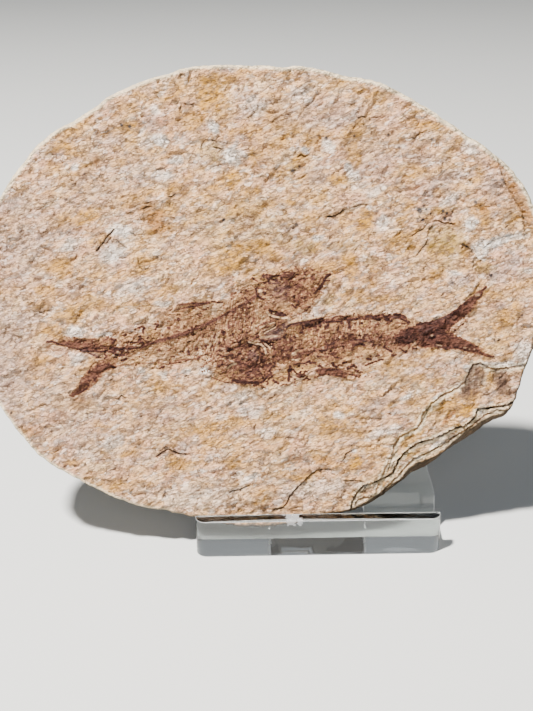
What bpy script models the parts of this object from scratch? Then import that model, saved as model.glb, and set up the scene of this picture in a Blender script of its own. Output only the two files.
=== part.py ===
"""Fossil fish slab on a clear easel.

An oval plate of split limestone carries two small herring-like fish, heads past
each other.  It leans back on a one-piece clear plastic easel.  Metres, +Z up.
The origin is on the table, under the middle of the object's bounding box.
The slab is designed lying in its own frame: X to the right along the plate,
Z up the plate from its lowest edge, -Y out of its front face.
"""

import math

import bmesh
import bpy
from mathutils import Matrix, Vector, noise
from mathutils.geometry import delaunay_2d_cdt, interpolate_bezier

MM = 0.001
GAP = 0.3 * MM  # clearance between pieces that touch

# Easel
EASEL_WIDTH = 75.0 * MM
SHEET = 4.5 * MM  # thickness of its walls
LIP_HEIGHT = 12.0 * MM
CORNER_RADIUS = 3.5 * MM  # of the lip's two ends, in plan
LEAN = math.radians(14.0)
PANEL_HEIGHT = 82.0 * MM  # along the leaning back panel, from the shelf
PANEL_TAPER = math.radians(14.0)
PANEL_TOP_RADIUS = 8.0 * MM
PANEL_ROOT = 3.0 * MM  # of the panel's length runs down into the shelf
WINDOW_WIDTH = 30.0 * MM
WINDOW_HEIGHT = 44.0 * MM
KERF = 0.6 * MM  # slot on each side of the foot, where it was cut free
SLOT_START = 2.5 * MM  # in front of the panel
FOOT_END = 60.0 * MM  # behind the lip's front face
FOOT_RADIUS = 5.0 * MM
EDGE_ROUND = 0.5 * MM
EASEL_OFFSET = 17.0 * MM  # the easel stands to the right of the slab's middle

# Slab
SLAB_THICKNESS = 10.0 * MM
SLAB_SEAT = SHEET + GAP + SLAB_THICKNESS * math.cos(LEAN)  # its back edge, in plan
PANEL_FRONT = SLAB_SEAT + GAP  # where the panel's front leaves the shelf
OUTLINE = (  # corners of the trimmed edge in mm, clockwise from the top
    (-18.9, 139.6), (-10.0, 140.1), (2.0, 139.8), (8.0, 139.2), (13.5, 139.3), (25.0, 136.8),
    (36.5, 134.3), (48.0, 128.4), (60.4, 120.3), (72.4, 111.9), (78.9, 105.1), (82.8, 97.4),
    (85.4, 89.0), (86.6, 79.0), (86.2, 69.0), (83.9, 59.5), (81.2, 49.4), (78.2, 40.3),
    (75.9, 34.5), (70.8, 31.8), (64.9, 27.5), (57.2, 22.6), (52.6, 18.7), (46.0, 15.5),
    (42.2, 12.2), (31.8, 5.6), (21.2, 3.5), (10.0, 1.6), (0.0, 0.7), (-10.0, 1.3),
    (-20.0, 3.3), (-30.0, 5.9), (-38.4, 7.4), (-49.1, 12.1), (-60.4, 18.6), (-69.3, 25.2),
    (-79.6, 40.0), (-84.6, 51.5), (-87.0, 63.0), (-87.0, 75.0), (-84.9, 86.0), (-76.4, 102.8),
    (-64.0, 118.5), (-51.9, 125.8), (-39.9, 133.3), (-28.1, 137.2),
)
EDGE_SPACING = 3.0 * MM  # between points along the edge
EDGE_NIBBLE = 0.35 * MM  # unevenness of the trimmed edge
NIBBLE_LENGTH = 5.0 * MM
FACE_SPACING = 3.55 * MM  # between points of the front face
BACK_SPACING = 9.0 * MM
RIM_CLEAR = 0.6  # spacings that a point of the face keeps from the rim
LINE_CLEAR = 0.45  # and from a ledge or a crack
SWELL = 0.55 * MM  # broad waves of the front face
SWELL_LENGTH = 34.0 * MM
LUMP = 0.30 * MM  # smaller lumps on them, drawn out along the grain
LUMP_LENGTH = 9.0 * MM
GRAIN_ANGLE = math.radians(27.0)
GRAIN_STRETCH = 1.7
STEP_WIDTH = 0.5 * MM  # in plan, of a ledge's broken wall

# Each ledge is a layer broken away on its lower right: drop in mm and the line
# round it, anticlockwise, closed outside the slab.
LEDGES = (
    (0.5, (
        (95.0, 52.0), (80.4, 50.3), (73.8, 49.0), (69.0, 49.2), (66.0, 50.8), (63.8, 50.4),
        (62.8, 45.6), (60.2, 43.4), (56.6, 41.8), (53.4, 39.6), (51.2, 38.2), (50.6, 36.2),
        (48.4, 34.4), (48.2, 31.2), (44.4, 29.6), (40.8, 26.2), (39.6, 22.8), (38.2, 17.6),
        (36.0, 15.0), (33.0, 5.0), (40.0, -8.0), (95.0, -8.0),
    )),
    (0.6, (
        (95.0, 40.5), (76.4, 38.5), (72.1, 37.2), (66.0, 37.2), (65.4, 34.2), (62.0, 31.6),
        (59.1, 30.8), (55.2, 28.6), (50.6, 27.0), (47.0, 25.6), (43.2, 22.4), (41.0, 17.4),
        (39.6, 15.8), (33.0, 13.8), (30.8, 12.6), (28.0, 8.4), (26.0, -8.0), (95.0, -8.0),
    )),
    (0.4, (
        (95.0, 36.0), (71.0, 35.6), (66.6, 33.4), (63.0, 30.2), (57.6, 26.6), (52.0, 23.4),
        (46.4, 21.2), (43.6, 17.6), (38.6, 12.4), (35.4, 9.6), (30.4, 8.8), (28.6, 7.2),
        (28.0, -8.0), (95.0, -8.0),
    )),
)
# The thin lip of shale chipped off the upper right edge.
CHIP = (1.0, (
    (71.0, 113.0), (72.4, 107.4), (74.6, 102.5), (78.0, 97.2), (79.0, 92.8), (80.2, 89.2),
    (95.0, 87.0), (95.0, 113.0),
))
# Open cracks: depth in mm and the line of each.
CRACKS = (
    (0.9, ((2.3, 3.5), (7.3, 6.9), (9.5, 11.3), (13.8, 15.0), (18.8, 18.1), (22.6, 18.0))),
    (0.7, ((-48.0, 86.4), (-42.4, 92.9), (-35.6, 90.4))),
    (0.7, ((19.7, 95.4), (23.9, 95.9), (26.0, 97.7), (32.8, 98.5))),
    (0.6, ((-32.3, 22.7), (-27.9, 25.8), (-20.3, 23.8))),
)
CRACK_WIDTH = 0.7 * MM

# The edge round the plate.  At angles round it (0 = right, anticlockwise): how far
# the front face's edge lies inside the widest outline, how far below that edge the
# widest outline is, and how far inside it the back's edge lies.  All in mm.
EDGE_STATIONS = (
    (0, 1.0, 2.0, 0.7), (25, 1.6, 2.2, 0.8), (60, 1.4, 1.6, 0.8), (95, 0.9, 1.2, 0.6),
    (130, 1.7, 1.8, 0.9), (165, 1.3, 1.6, 0.8), (200, 0.5, 1.0, 0.6), (255, 0.7, 1.4, -0.2),
    (270, 0.9, 1.6, -0.4), (288, 0.9, 2.0, -0.1), (300, 1.6, 2.6, 0.3), (308, 1.4, 2.6, 0.3),
    (313, 3.0, 3.4, 0.3), (320, 1.0, 2.6, 0.3), (326, 2.6, 3.2, 0.3), (332, 2.0, 2.6, 0.4),
    (337, 0.6, 1.6, 0.5), (350, 0.7, 1.6, 0.6),
)
PLATE_MIDDLE = (0.0, 70.0)  # mm, where the angles are taken from
WALL_SHARES = (0.6, 0.3)  # rings of the wall, as shares of the widest ring's height
WALL_UNEVEN = 0.35 * MM

# Fish: outline points in mm, clockwise from the snout.
LEFT_FISH = (
    (21.4, 78.8), (19.6, 74.8), (16.2, 69.4), (12.6, 66.2), (8.6, 65.0), (5.6, 63.6),
    (1.4, 61.8), (-3.6, 59.2), (-10.2, 55.2), (-19.3, 53.1), (-29.3, 50.9), (-39.6, 52.2),
    (-44.6, 51.4), (-48.2, 48.8), (-52.8, 44.6), (-57.5, 42.1), (-54.2, 46.8), (-50.6, 51.6),
    (-49.8, 55.0), (-54.6, 57.2), (-63.7, 59.6), (-57.1, 60.2), (-46.2, 59.9), (-35.0, 63.2),
    (-26.4, 68.1), (-20.0, 70.0), (-10.5, 70.8), (-7.4, 73.2), (-2.3, 77.3), (7.9, 79.4),
    (15.1, 80.2),
)
LEFT_SPINE = (
    (0.7, 73.4), (-3.9, 70.5), (-9.0, 67.5), (-14.2, 64.2), (-20.9, 61.5), (-26.7, 59.6),
    (-34.6, 57.4), (-42.5, 55.7), (-49.4, 55.1),
)
LEFT_SKULL = ((10.5, 73.0), 9.5)  # middle and reach in mm
RIGHT_FISH = (
    (-17.5, 50.7), (-10.8, 53.9), (-3.4, 58.0), (1.8, 60.6), (6.0, 62.4), (9.4, 63.9),
    (20.7, 65.5), (32.7, 65.8), (41.7, 66.0), (45.4, 63.6), (50.6, 62.6), (57.6, 65.2),
    (63.2, 69.4), (68.4, 73.5), (64.8, 67.4), (60.4, 62.6), (57.2, 59.8), (62.4, 57.0),
    (70.1, 52.6), (61.6, 54.2), (54.6, 56.0), (46.2, 55.2), (37.5, 52.0), (33.6, 49.6),
    (30.2, 46.9), (24.2, 47.0), (20.0, 48.6), (14.2, 46.6), (6.6, 44.4), (-1.0, 44.8),
    (-7.1, 46.0), (-14.3, 47.6),
)
RIGHT_SPINE = (
    (5.2, 52.7), (12.1, 54.1), (18.2, 55.6), (26.6, 57.3), (34.0, 58.2), (41.7, 58.9),
    (50.4, 60.8), (56.4, 60.2),
)
RIGHT_SKULL = ((-4.5, 51.2), 9.5)
FISH_SPACING = 2.0 * MM
FISH_EDGE_SPACING = 2.4 * MM
FISH_DEPTH = 1.2 * MM  # of a fish below the stone's face
FISH_PROUD = 0.35 * MM  # of its flesh above that face
SPINE_PROUD = 0.45 * MM  # of the backbone, above the flesh
SPINE_WIDTH = 1.6 * MM
SKULL_PROUD = 0.5 * MM


def fresh_scene():
    """Remove what the scene holds and return the collections for parts and cutters."""
    for old in list(bpy.data.objects):
        bpy.data.objects.remove(old)
    made = []
    for name in ("fossil_fish_slab", "cutters"):
        collection = bpy.data.collections.new(name)
        bpy.context.scene.collection.children.link(collection)
        made.append(collection)
    return made


def material(name, color, roughness, alpha=1.0):
    made = bpy.data.materials.new(name)
    made.use_nodes = True
    shader = made.node_tree.nodes["Principled BSDF"]
    shader.inputs["Base Color"].default_value = (*color, 1.0)
    shader.inputs["Roughness"].default_value = roughness
    shader.inputs["Metallic"].default_value = 0.0
    shader.inputs["Alpha"].default_value = alpha
    return made


def add_object(name, mesh, collection, finish=None):
    made = bpy.data.objects.new(name, mesh)
    collection.objects.link(made)
    if finish:
        mesh.materials.append(finish)
    return made


def as_cutter(obj):
    obj.hide_render = True
    obj.display_type = "WIRE"
    return obj


def mesh_from(bm, name):
    bmesh.ops.recalc_face_normals(bm, faces=bm.faces)
    mesh = bpy.data.meshes.new(name)
    bm.to_mesh(mesh)
    bm.free()
    return mesh


def boolean(obj, other, operation):
    modifier = obj.modifiers.new(other.name, "BOOLEAN")
    modifier.operation = operation
    modifier.object = other


# ---------------------------------------------------------------- plane geometry


def in_metres(points):
    return [Vector((x * MM, z * MM)) for x, z in points]


def spaced(points, spacing, closed=True):
    """Points about this far apart along a line, with every given corner kept."""
    ends = points[1:] + points[:1] if closed else points[1:]
    out = []
    for start, end in zip(points, ends):
        count = max(1, round((end - start).length / spacing))
        out += [start.lerp(end, k / count) for k in range(count)]
    return out if closed else out + [points[-1]]


def rounded_line(points, spacing, closed=True):
    """A smooth line through the points, as Bezier spans with Catmull-Rom handles."""
    count = len(points)
    spans = count if closed else count - 1
    out = []
    for k in range(spans):
        start, end = points[k], points[(k + 1) % count]
        before = points[k - 1] if closed or k else start
        after = points[(k + 2) % count] if closed or k + 2 < count else end
        first = start + (end - before) / 6
        second = end - (after - start) / 6
        steps = max(1, round((end - start).length / spacing))
        span = interpolate_bezier(start.to_3d(), first.to_3d(), second.to_3d(), end.to_3d(), steps + 1)
        out += [point.to_2d() for point in span[:-1]]
    return out if closed else out + [points[-1]]


def inside(point, outline):
    """Whether a point lies within a closed outline, by counting crossings."""
    crossed = False
    for a, b in zip(outline, outline[1:] + outline[:1]):
        if (a.y > point.y) != (b.y > point.y):
            at = a.x + (point.y - a.y) * (b.x - a.x) / (b.y - a.y)
            crossed ^= point.x < at
    return crossed


def distance(point, line, closed=True):
    """The distance from a point to a line of straight pieces."""
    ends = line[1:] + line[:1] if closed else line[1:]
    nearest = math.inf
    for a, b in zip(line, ends):
        along = b - a
        share = (point - a).dot(along) / along.length_squared
        nearest = min(nearest, (point - a - along * min(1.0, max(0.0, share))).length)
    return nearest


def left_normals(line):
    """Normals to the left of a closed line: outward from one that runs clockwise."""
    normals = []
    for before, after in zip(line[-1:] + line[:-1], line[1:] + line[:1]):
        along = (after - before).normalized()
        normals.append(Vector((-along.y, along.x)))
    return normals


def hex_points(outline, spacing, clear):
    """A triangular grid of points inside an outline and clear of its edge."""
    row_height = spacing * math.sqrt(3) / 2
    low_x, high_x = min(p.x for p in outline), max(p.x for p in outline)
    low_y, high_y = min(p.y for p in outline), max(p.y for p in outline)
    found = []
    for row in range(int((high_y - low_y) / row_height) + 1):
        shift = spacing / 2 * (row % 2)
        for column in range(int((high_x - low_x) / spacing) + 1):
            point = Vector((low_x + shift + column * spacing, low_y + row * row_height))
            if inside(point, outline) and distance(point, outline) > clear:
                found.append(point)
    return found


def triangulated(outline, extra_lines, points):
    """Triangles that fill an outline, through the given lines and points."""
    flat = list(outline)
    edges = [(k, (k + 1) % len(outline)) for k in range(len(outline))]
    for line in extra_lines:
        first = len(flat)
        flat += line
        edges += [(first + k, first + k + 1) for k in range(len(line) - 1)]
    flat += points
    result = delaunay_2d_cdt(flat, edges, [], 1, 0.01 * MM)
    return result[0], result[2]


# ---------------------------------------------------------------- the stone's face

BROKEN_LAYERS = [(drop * MM, in_metres(line)) for drop, line in (*LEDGES, CHIP)]
CRACK_LINES = [(depth * MM, in_metres(line)) for depth, line in CRACKS]


def along_grain(point, length):
    """A noise coordinate in which features are drawn out along the grain."""
    turned = Matrix.Rotation(-GRAIN_ANGLE, 2) @ point
    return Vector((turned.x / (length * GRAIN_STRETCH), turned.y / length, 0.0))


def face_depth(point):
    """How far the front face lies behind the nominal front plane at a point."""
    depth = SWELL * (1 + noise.noise(along_grain(point, SWELL_LENGTH)))
    depth += LUMP * (1 + noise.noise(along_grain(point, LUMP_LENGTH) + Vector((7, 3, 1))))
    for drop, line in BROKEN_LAYERS:
        if inside(point, line):
            depth += drop * min(1.0, distance(point, line) / STEP_WIDTH)
    for deep, line in CRACK_LINES:
        away = distance(point, line, closed=False) / CRACK_WIDTH
        depth += deep * max(0.0, 1.0 - away)
    return depth


def on_face(point):
    """The place on the stone's front face at a point of the plate's plane."""
    return Vector((point.x, face_depth(point) - SLAB_THICKNESS, point.y))


def edge_shape(point):
    """Inset, drop and back inset at a point of the edge, blended between stations."""
    middle = Vector(PLATE_MIDDLE) * MM
    angle = math.degrees(math.atan2(point.y - middle.y, point.x - middle.x)) % 360
    stations = EDGE_STATIONS + ((360, *EDGE_STATIONS[0][1:]),)
    for low, high in zip(stations, stations[1:]):
        if low[0] <= angle <= high[0]:
            share = (angle - low[0]) / (high[0] - low[0])
            return [(a + (b - a) * share) * MM for a, b in zip(low[1:], high[1:])]
    raise ValueError("an angle outside 0 to 360 degrees")


def slab_outline():
    """The widest outline of the slab, with the small unevenness of a trimmed edge."""
    smooth = rounded_line(in_metres(OUTLINE), EDGE_SPACING)
    uneven = []
    for point, normal in zip(smooth, left_normals(smooth)):
        wave = noise.noise(point.to_3d() / NIBBLE_LENGTH)
        uneven.append(point + normal * EDGE_NIBBLE * wave)
    return uneven


def runs_inside(line, outline, clear):
    """The stretches of a line that lie inside an outline and clear of its edge."""
    runs = [[]]
    for point in line:
        if inside(point, outline) and distance(point, outline) > clear:
            runs[-1].append(point)
        elif runs[-1]:
            runs.append([])
    return [run for run in runs if len(run) > 1]


def face_lines(front):
    """Lines that the face's triangles follow: ledges with their feet, and cracks."""
    found = []
    for _, line in BROKEN_LAYERS:
        fine = spaced(line, FACE_SPACING)
        foot = [p + n * STEP_WIDTH for p, n in zip(fine, left_normals(fine))]
        found += runs_inside(fine, front, STEP_WIDTH)
        found += runs_inside(foot, front, STEP_WIDTH)
    for _, line in CRACK_LINES:
        found += runs_inside(line, front, STEP_WIDTH)
    return found


def fill(bm, ring, flat, faces, place):
    """Triangles inside a ring of vertices, with new vertices where place puts them."""
    verts = ring + [bm.verts.new(place(p)) for p in flat[len(ring):]]
    for face in faces:
        bm.faces.new([verts[k] for k in face])


def skirt(bm, upper, lower):
    """A band of faces between two rings of vertices."""
    for k in range(len(upper)):
        j = (k + 1) % len(upper)
        bm.faces.new((upper[k], lower[k], lower[j], upper[j]))


def build_slab(collection, finish):
    """The stone: a closed loft from the rough face over the rim and wall to the back."""
    widest = slab_outline()
    normals = left_normals(widest)
    shapes = [edge_shape(point) for point in widest]
    front = [p - n * inset for p, n, (inset, _, _) in zip(widest, normals, shapes)]
    lines = face_lines(front)
    grid = [
        p for p in hex_points(front, FACE_SPACING, RIM_CLEAR * FACE_SPACING)
        if all(distance(p, line, closed=False) > LINE_CLEAR * FACE_SPACING for line in lines)
    ]

    bm = bmesh.new()
    rim = [bm.verts.new(on_face(p)) for p in front]
    fill(bm, rim, *triangulated(front, lines, grid), on_face)
    heights = [-on_face(p).y - drop for p, (_, drop, _) in zip(front, shapes)]
    upper = rim
    for share in (1.0, *WALL_SHARES, 0.0):
        lower = []
        for p, n, height, (_, _, back_inset) in zip(widest, normals, heights, shapes):
            uneven = noise.noise(Vector((p.x, height * share, p.y)) / NIBBLE_LENGTH)
            moved = p - n * (back_inset * (1 - share) + WALL_UNEVEN * uneven)
            lower.append(bm.verts.new((moved.x, -height * share, moved.y)))
        skirt(bm, upper, lower)
        upper = lower
    back = [Vector((v.co.x, v.co.z)) for v in upper]
    back_grid = hex_points(back, BACK_SPACING, BACK_SPACING / 2)
    fill(bm, upper, *triangulated(back, [], back_grid), lambda p: (p.x, 0.0, p.y))
    bmesh.ops.triangulate(bm, faces=bm.faces)
    return add_object("slab", mesh_from(bm, "slab"), collection, finish)


# ---------------------------------------------------------------- the fish


def fish_height(point, outline, spine, skull):
    """How far a fish stands out of the stone's face at a point of it."""
    middle, reach = Vector(skull[0]) * MM, skull[1] * MM
    height = FISH_PROUD
    height += SPINE_PROUD * max(0.0, 1.0 - distance(point, spine, closed=False) / SPINE_WIDTH)
    height += SKULL_PROUD * max(0.0, 1.0 - ((point - middle).length / reach) ** 2)
    edge = distance(point, outline)
    return height * min(1.0, 0.35 + edge / (2.0 * MM))


def fish_plate(outline, spine, skull, sink, name):
    """A thin plate of a fish's outline: raised on top, its floor below the stone's face."""
    grid = [
        p for p in hex_points(outline, FISH_SPACING, RIM_CLEAR * FISH_SPACING)
        if distance(p, spine, closed=False) > LINE_CLEAR * FISH_SPACING
    ]
    flat, faces = triangulated(outline, runs_inside(spine, outline, GAP), grid)
    bm = bmesh.new()

    def floor(point):
        return on_face(point) + Vector((0.0, sink, 0.0))

    def top(point):
        return on_face(point) - Vector((0.0, fish_height(point, outline, spine, skull), 0.0))

    upper = [bm.verts.new(top(p)) for p in outline]
    lower = [bm.verts.new(floor(p)) for p in outline]
    fill(bm, upper, flat, faces, top)
    fill(bm, lower, flat, faces, floor)
    skirt(bm, upper, lower)
    return mesh_from(bm, name)


def build_fish(name, outline_mm, spine_mm, skull, slab, parts, cutters, finish):
    """One fish as a thin raised plate, and the shallow pocket in the stone that holds it."""
    outline = rounded_line(in_metres(outline_mm), FISH_EDGE_SPACING)
    spine = in_metres(spine_mm)
    fish = add_object(name, fish_plate(outline, spine, skull, FISH_DEPTH, name), parts, finish)
    wider = [p + n * GAP for p, n in zip(outline, left_normals(outline))]
    pocket_mesh = fish_plate(wider, spine, skull, FISH_DEPTH + GAP, name + "_pocket")
    pocket = as_cutter(add_object(name + "_pocket", pocket_mesh, cutters))
    boolean(slab, pocket, "DIFFERENCE")
    return fish, pocket


# ---------------------------------------------------------------- the easel


def arc(center, radius, start_deg, end_deg, steps=5):
    """Points along an arc in plan, angles in degrees anticlockwise from +X."""
    found = []
    for k in range(steps + 1):
        angle = math.radians(start_deg + (end_deg - start_deg) * k / steps)
        found.append(Vector(center) + radius * Vector((math.cos(angle), math.sin(angle))))
    return found


def mirrored(half):
    """A closed outline from its right half, which runs from the middle line to it."""
    return half + [Vector((-p.x, p.y)) for p in reversed(half)]


def plate(name, outline, thickness):
    """A flat outline in XY, extruded up Z by its thickness."""
    bm = bmesh.new()
    face = bm.faces.new([bm.verts.new((p.x, p.y, 0.0)) for p in outline])
    made = bmesh.ops.extrude_face_region(bm, geom=[face])
    raised = [item for item in made["geom"] if isinstance(item, bmesh.types.BMVert)]
    bmesh.ops.translate(bm, verts=raised, vec=(0.0, 0.0, thickness))
    return mesh_from(bm, name)


def base_outline():
    """Plan of the lip, the shelf and the foot that was cut free between two slots."""
    half, foot = EASEL_WIDTH / 2, WINDOW_WIDTH / 2 - KERF
    shelf_back, slot_front = PANEL_FRONT + SHEET, PANEL_FRONT - SLOT_START
    return mirrored(
        arc((half - CORNER_RADIUS, CORNER_RADIUS), CORNER_RADIUS, -90, 0)
        + [Vector((half, shelf_back)), Vector((WINDOW_WIDTH / 2, shelf_back))]
        + [Vector((WINDOW_WIDTH / 2, slot_front)), Vector((foot, slot_front))]
        + arc((foot - FOOT_RADIUS, FOOT_END - FOOT_RADIUS), FOOT_RADIUS, 0, 90)
    )


def panel_outline():
    """The leaning panel seen square on: two legs, the window between them and the top."""
    half = EASEL_WIDTH / 2
    top_half = half - (PANEL_HEIGHT - LIP_HEIGHT / 2) * math.tan(PANEL_TAPER)
    tapered = 90 - math.degrees(PANEL_TAPER)
    corner = (top_half - PANEL_TOP_RADIUS, PANEL_HEIGHT - PANEL_TOP_RADIUS)
    window = arc(
        (WINDOW_WIDTH / 2 - FOOT_RADIUS, WINDOW_HEIGHT - FOOT_RADIUS), FOOT_RADIUS, 90, 0
    )
    return mirrored(
        window
        + [Vector((WINDOW_WIDTH / 2, -PANEL_ROOT)), Vector((half, -PANEL_ROOT))]
        + [Vector((half, LIP_HEIGHT / 2))]
        + arc(corner, PANEL_TOP_RADIUS, 90 - tapered, 90)
    )


def build_easel(parts, cutters, finish):
    """The easel: a thick base with its seat cut out, joined to the leaning panel."""
    easel = add_object("easel", plate("easel", base_outline(), LIP_HEIGHT), parts, finish)
    bpy.ops.mesh.primitive_cube_add(size=1.0)
    seat = bpy.context.object
    seat.name = "easel_seat"
    for collection in list(seat.users_collection):
        collection.objects.unlink(seat)
    cutters.objects.link(as_cutter(seat))
    seat.dimensions = (2 * EASEL_WIDTH, 2 * FOOT_END, 2 * LIP_HEIGHT)
    seat.location = (0.0, SHEET + FOOT_END, SHEET + LIP_HEIGHT)
    panel = add_object("easel_panel", plate("easel_panel", panel_outline(), SHEET), cutters)
    as_cutter(panel)
    panel.rotation_euler.x = math.pi / 2 - LEAN
    panel.location = (0.0, PANEL_FRONT + SHEET / math.cos(LEAN), SHEET)
    boolean(easel, seat, "DIFFERENCE")
    boolean(easel, panel, "UNION")
    rounding = easel.modifiers.new("edges", "BEVEL")
    rounding.width = EDGE_ROUND
    rounding.segments = 2
    rounding.limit_method = "ANGLE"
    rounding.angle_limit = math.radians(40)
    return easel, seat, panel


# ---------------------------------------------------------------- assembly


def main():
    parts, cutters = fresh_scene()
    stone = material("stone", (0.66, 0.50, 0.35), 0.9)
    bone = material("fossil_bone", (0.16, 0.065, 0.03), 0.65)
    clear = material("clear_plastic", (0.75, 0.8, 0.8), 0.08, alpha=0.35)

    table = bpy.data.objects.new("table_point", None)
    parts.objects.link(table)
    table.location = (0.0, -FOOT_END / 2, 0.0)

    easel, seat, panel = build_easel(parts, cutters, clear)
    for piece in (easel, seat, panel):
        piece.parent = table
        piece.location.x += EASEL_OFFSET

    slab = build_slab(parts, stone)
    leaning = Matrix.Rotation(-LEAN, 3, "X")
    lowest = min((leaning @ vert.co).z for vert in slab.data.vertices)
    slab.parent = table
    slab.location = (0.0, SLAB_SEAT, SHEET + GAP - lowest)
    slab.rotation_euler.x = -LEAN
    fish = (
        ("fish_left", LEFT_FISH, LEFT_SPINE, LEFT_SKULL),
        ("fish_right", RIGHT_FISH, RIGHT_SPINE, RIGHT_SKULL),
    )
    for name, outline, spine, skull in fish:
        for piece in build_fish(name, outline, spine, skull, slab, parts, cutters, bone):
            piece.parent = slab


main()
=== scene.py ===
"""The looks of the fossil fish slab on its clear easel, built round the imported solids.

The slab and its two fish are modelled in the slab's own plane, in millimetres: x to
the right along the plate and z up it from its lowest edge.  A height there is a depth
behind the plate's nominal front plane.  Meshes are made in metres.
"""

import math

import bmesh
import bpy
import numpy as np
from mathutils import Matrix, Vector, noise
from mathutils.geometry import delaunay_2d_cdt, interpolate_bezier


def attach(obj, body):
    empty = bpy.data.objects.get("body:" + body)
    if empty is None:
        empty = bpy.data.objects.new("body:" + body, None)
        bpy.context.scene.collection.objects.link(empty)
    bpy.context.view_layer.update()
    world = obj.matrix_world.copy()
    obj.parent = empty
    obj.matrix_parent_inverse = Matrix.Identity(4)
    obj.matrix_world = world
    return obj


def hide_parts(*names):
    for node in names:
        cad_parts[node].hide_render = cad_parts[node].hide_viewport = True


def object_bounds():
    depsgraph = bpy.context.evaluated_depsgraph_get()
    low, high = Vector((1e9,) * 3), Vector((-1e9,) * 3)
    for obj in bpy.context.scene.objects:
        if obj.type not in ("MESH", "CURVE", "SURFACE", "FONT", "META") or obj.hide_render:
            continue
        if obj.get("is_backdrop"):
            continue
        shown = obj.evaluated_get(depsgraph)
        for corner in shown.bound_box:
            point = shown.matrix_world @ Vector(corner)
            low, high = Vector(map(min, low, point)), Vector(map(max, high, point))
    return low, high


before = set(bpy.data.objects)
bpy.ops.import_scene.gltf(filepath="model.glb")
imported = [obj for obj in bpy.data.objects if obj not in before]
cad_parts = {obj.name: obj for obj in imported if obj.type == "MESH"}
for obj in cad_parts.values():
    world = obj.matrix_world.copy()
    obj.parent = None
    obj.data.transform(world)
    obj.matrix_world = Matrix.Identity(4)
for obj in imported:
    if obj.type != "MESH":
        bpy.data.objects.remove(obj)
cad_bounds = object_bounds()

MM = 0.001

# ------------------------------------------------------------ sizes shared with the CAD, mm

EASEL_WIDTH = 75.0
SHEET = 4.5
LIP_HEIGHT = 12.0
CORNER_RADIUS = 3.5
LEAN = math.radians(14.0)
PANEL_HEIGHT = 82.0
PANEL_TAPER = math.radians(14.0)
PANEL_TOP_RADIUS = 8.0
WINDOW_WIDTH = 30.0
WINDOW_HEIGHT = 44.0
KERF = 0.6  # slot on each side of the foot
SLOT_START = 2.5  # in front of the panel
FOOT_END = 60.0
FOOT_RADIUS = 5.0
EASEL_OFFSET = 17.0
GAP = 0.3
AIR_UNDER = 0.05  # between the easel and the floor, as under any hard sheet
CONTACT = 0.05  # left between the stone and the shelf that carries it

SLAB_THICKNESS = 10.0
OUTLINE = (
    (-18.9, 139.6), (-10.0, 140.1), (2.0, 139.8), (8.0, 139.2), (13.5, 139.3), (25.0, 136.8),
    (36.5, 134.3), (48.0, 128.4), (60.4, 120.3), (72.4, 111.9), (78.9, 105.1), (82.8, 97.4),
    (85.4, 89.0), (86.6, 79.0), (86.2, 69.0), (83.9, 59.5), (81.2, 49.4), (78.2, 40.3),
    (75.9, 34.5), (70.8, 31.8), (64.9, 27.5), (57.2, 22.6), (52.6, 18.7), (46.0, 15.5),
    (42.2, 12.2), (31.8, 5.6), (21.2, 3.5), (10.0, 1.6), (0.0, 0.7), (-10.0, 1.3),
    (-20.0, 3.3), (-30.0, 5.9), (-38.4, 7.4), (-49.1, 12.1), (-60.4, 18.6), (-69.3, 25.2),
    (-79.6, 40.0), (-84.6, 51.5), (-87.0, 63.0), (-87.0, 75.0), (-84.9, 86.0), (-76.4, 102.8),
    (-64.0, 118.5), (-51.9, 125.8), (-39.9, 133.3), (-28.1, 137.2),
)
EDGE_NIBBLE = 0.35
NIBBLE_LENGTH = 5.0
SWELL = 0.55
SWELL_LENGTH = 34.0
LUMP = 0.30
LUMP_LENGTH = 9.0
GRAIN_ANGLE = math.radians(27.0)
GRAIN_STRETCH = 1.7
FILM_ANGLE = math.radians(20.0)  # of the finest films, a little flatter than the swells
FILM_STRETCH = 2.1
# Angle, inset, drop and back inset, as in the CAD but crisper in front round the top.
EDGE_STATIONS = (
    (0, 0.9, 2.0, 0.7), (25, 1.1, 2.2, 0.8), (60, 0.9, 1.6, 0.8), (95, 0.6, 1.2, 0.6),
    (130, 0.9, 1.8, 0.9), (165, 0.9, 1.6, 0.8), (200, 0.5, 1.0, 0.6), (255, 0.7, 1.4, -0.2),
    (270, 0.9, 1.6, -0.4), (288, 0.9, 2.0, -0.1), (300, 1.6, 2.6, 0.3), (308, 1.4, 2.6, 0.3),
    (313, 3.0, 3.4, 0.3), (320, 1.0, 2.6, 0.3), (326, 2.6, 3.2, 0.3), (332, 2.0, 2.6, 0.4),
    (337, 0.6, 1.6, 0.5), (350, 0.7, 1.6, 0.6),
)
PLATE_MIDDLE = (0.0, 70.0)
LOWER_RIGHT = (0.55, -0.83)  # the way that the edge in painted shade faces
SLAB_REACH = 86.0  # from the plate's middle to its ends

# ------------------------------------------------------------ the stone's own detail, mm

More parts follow.
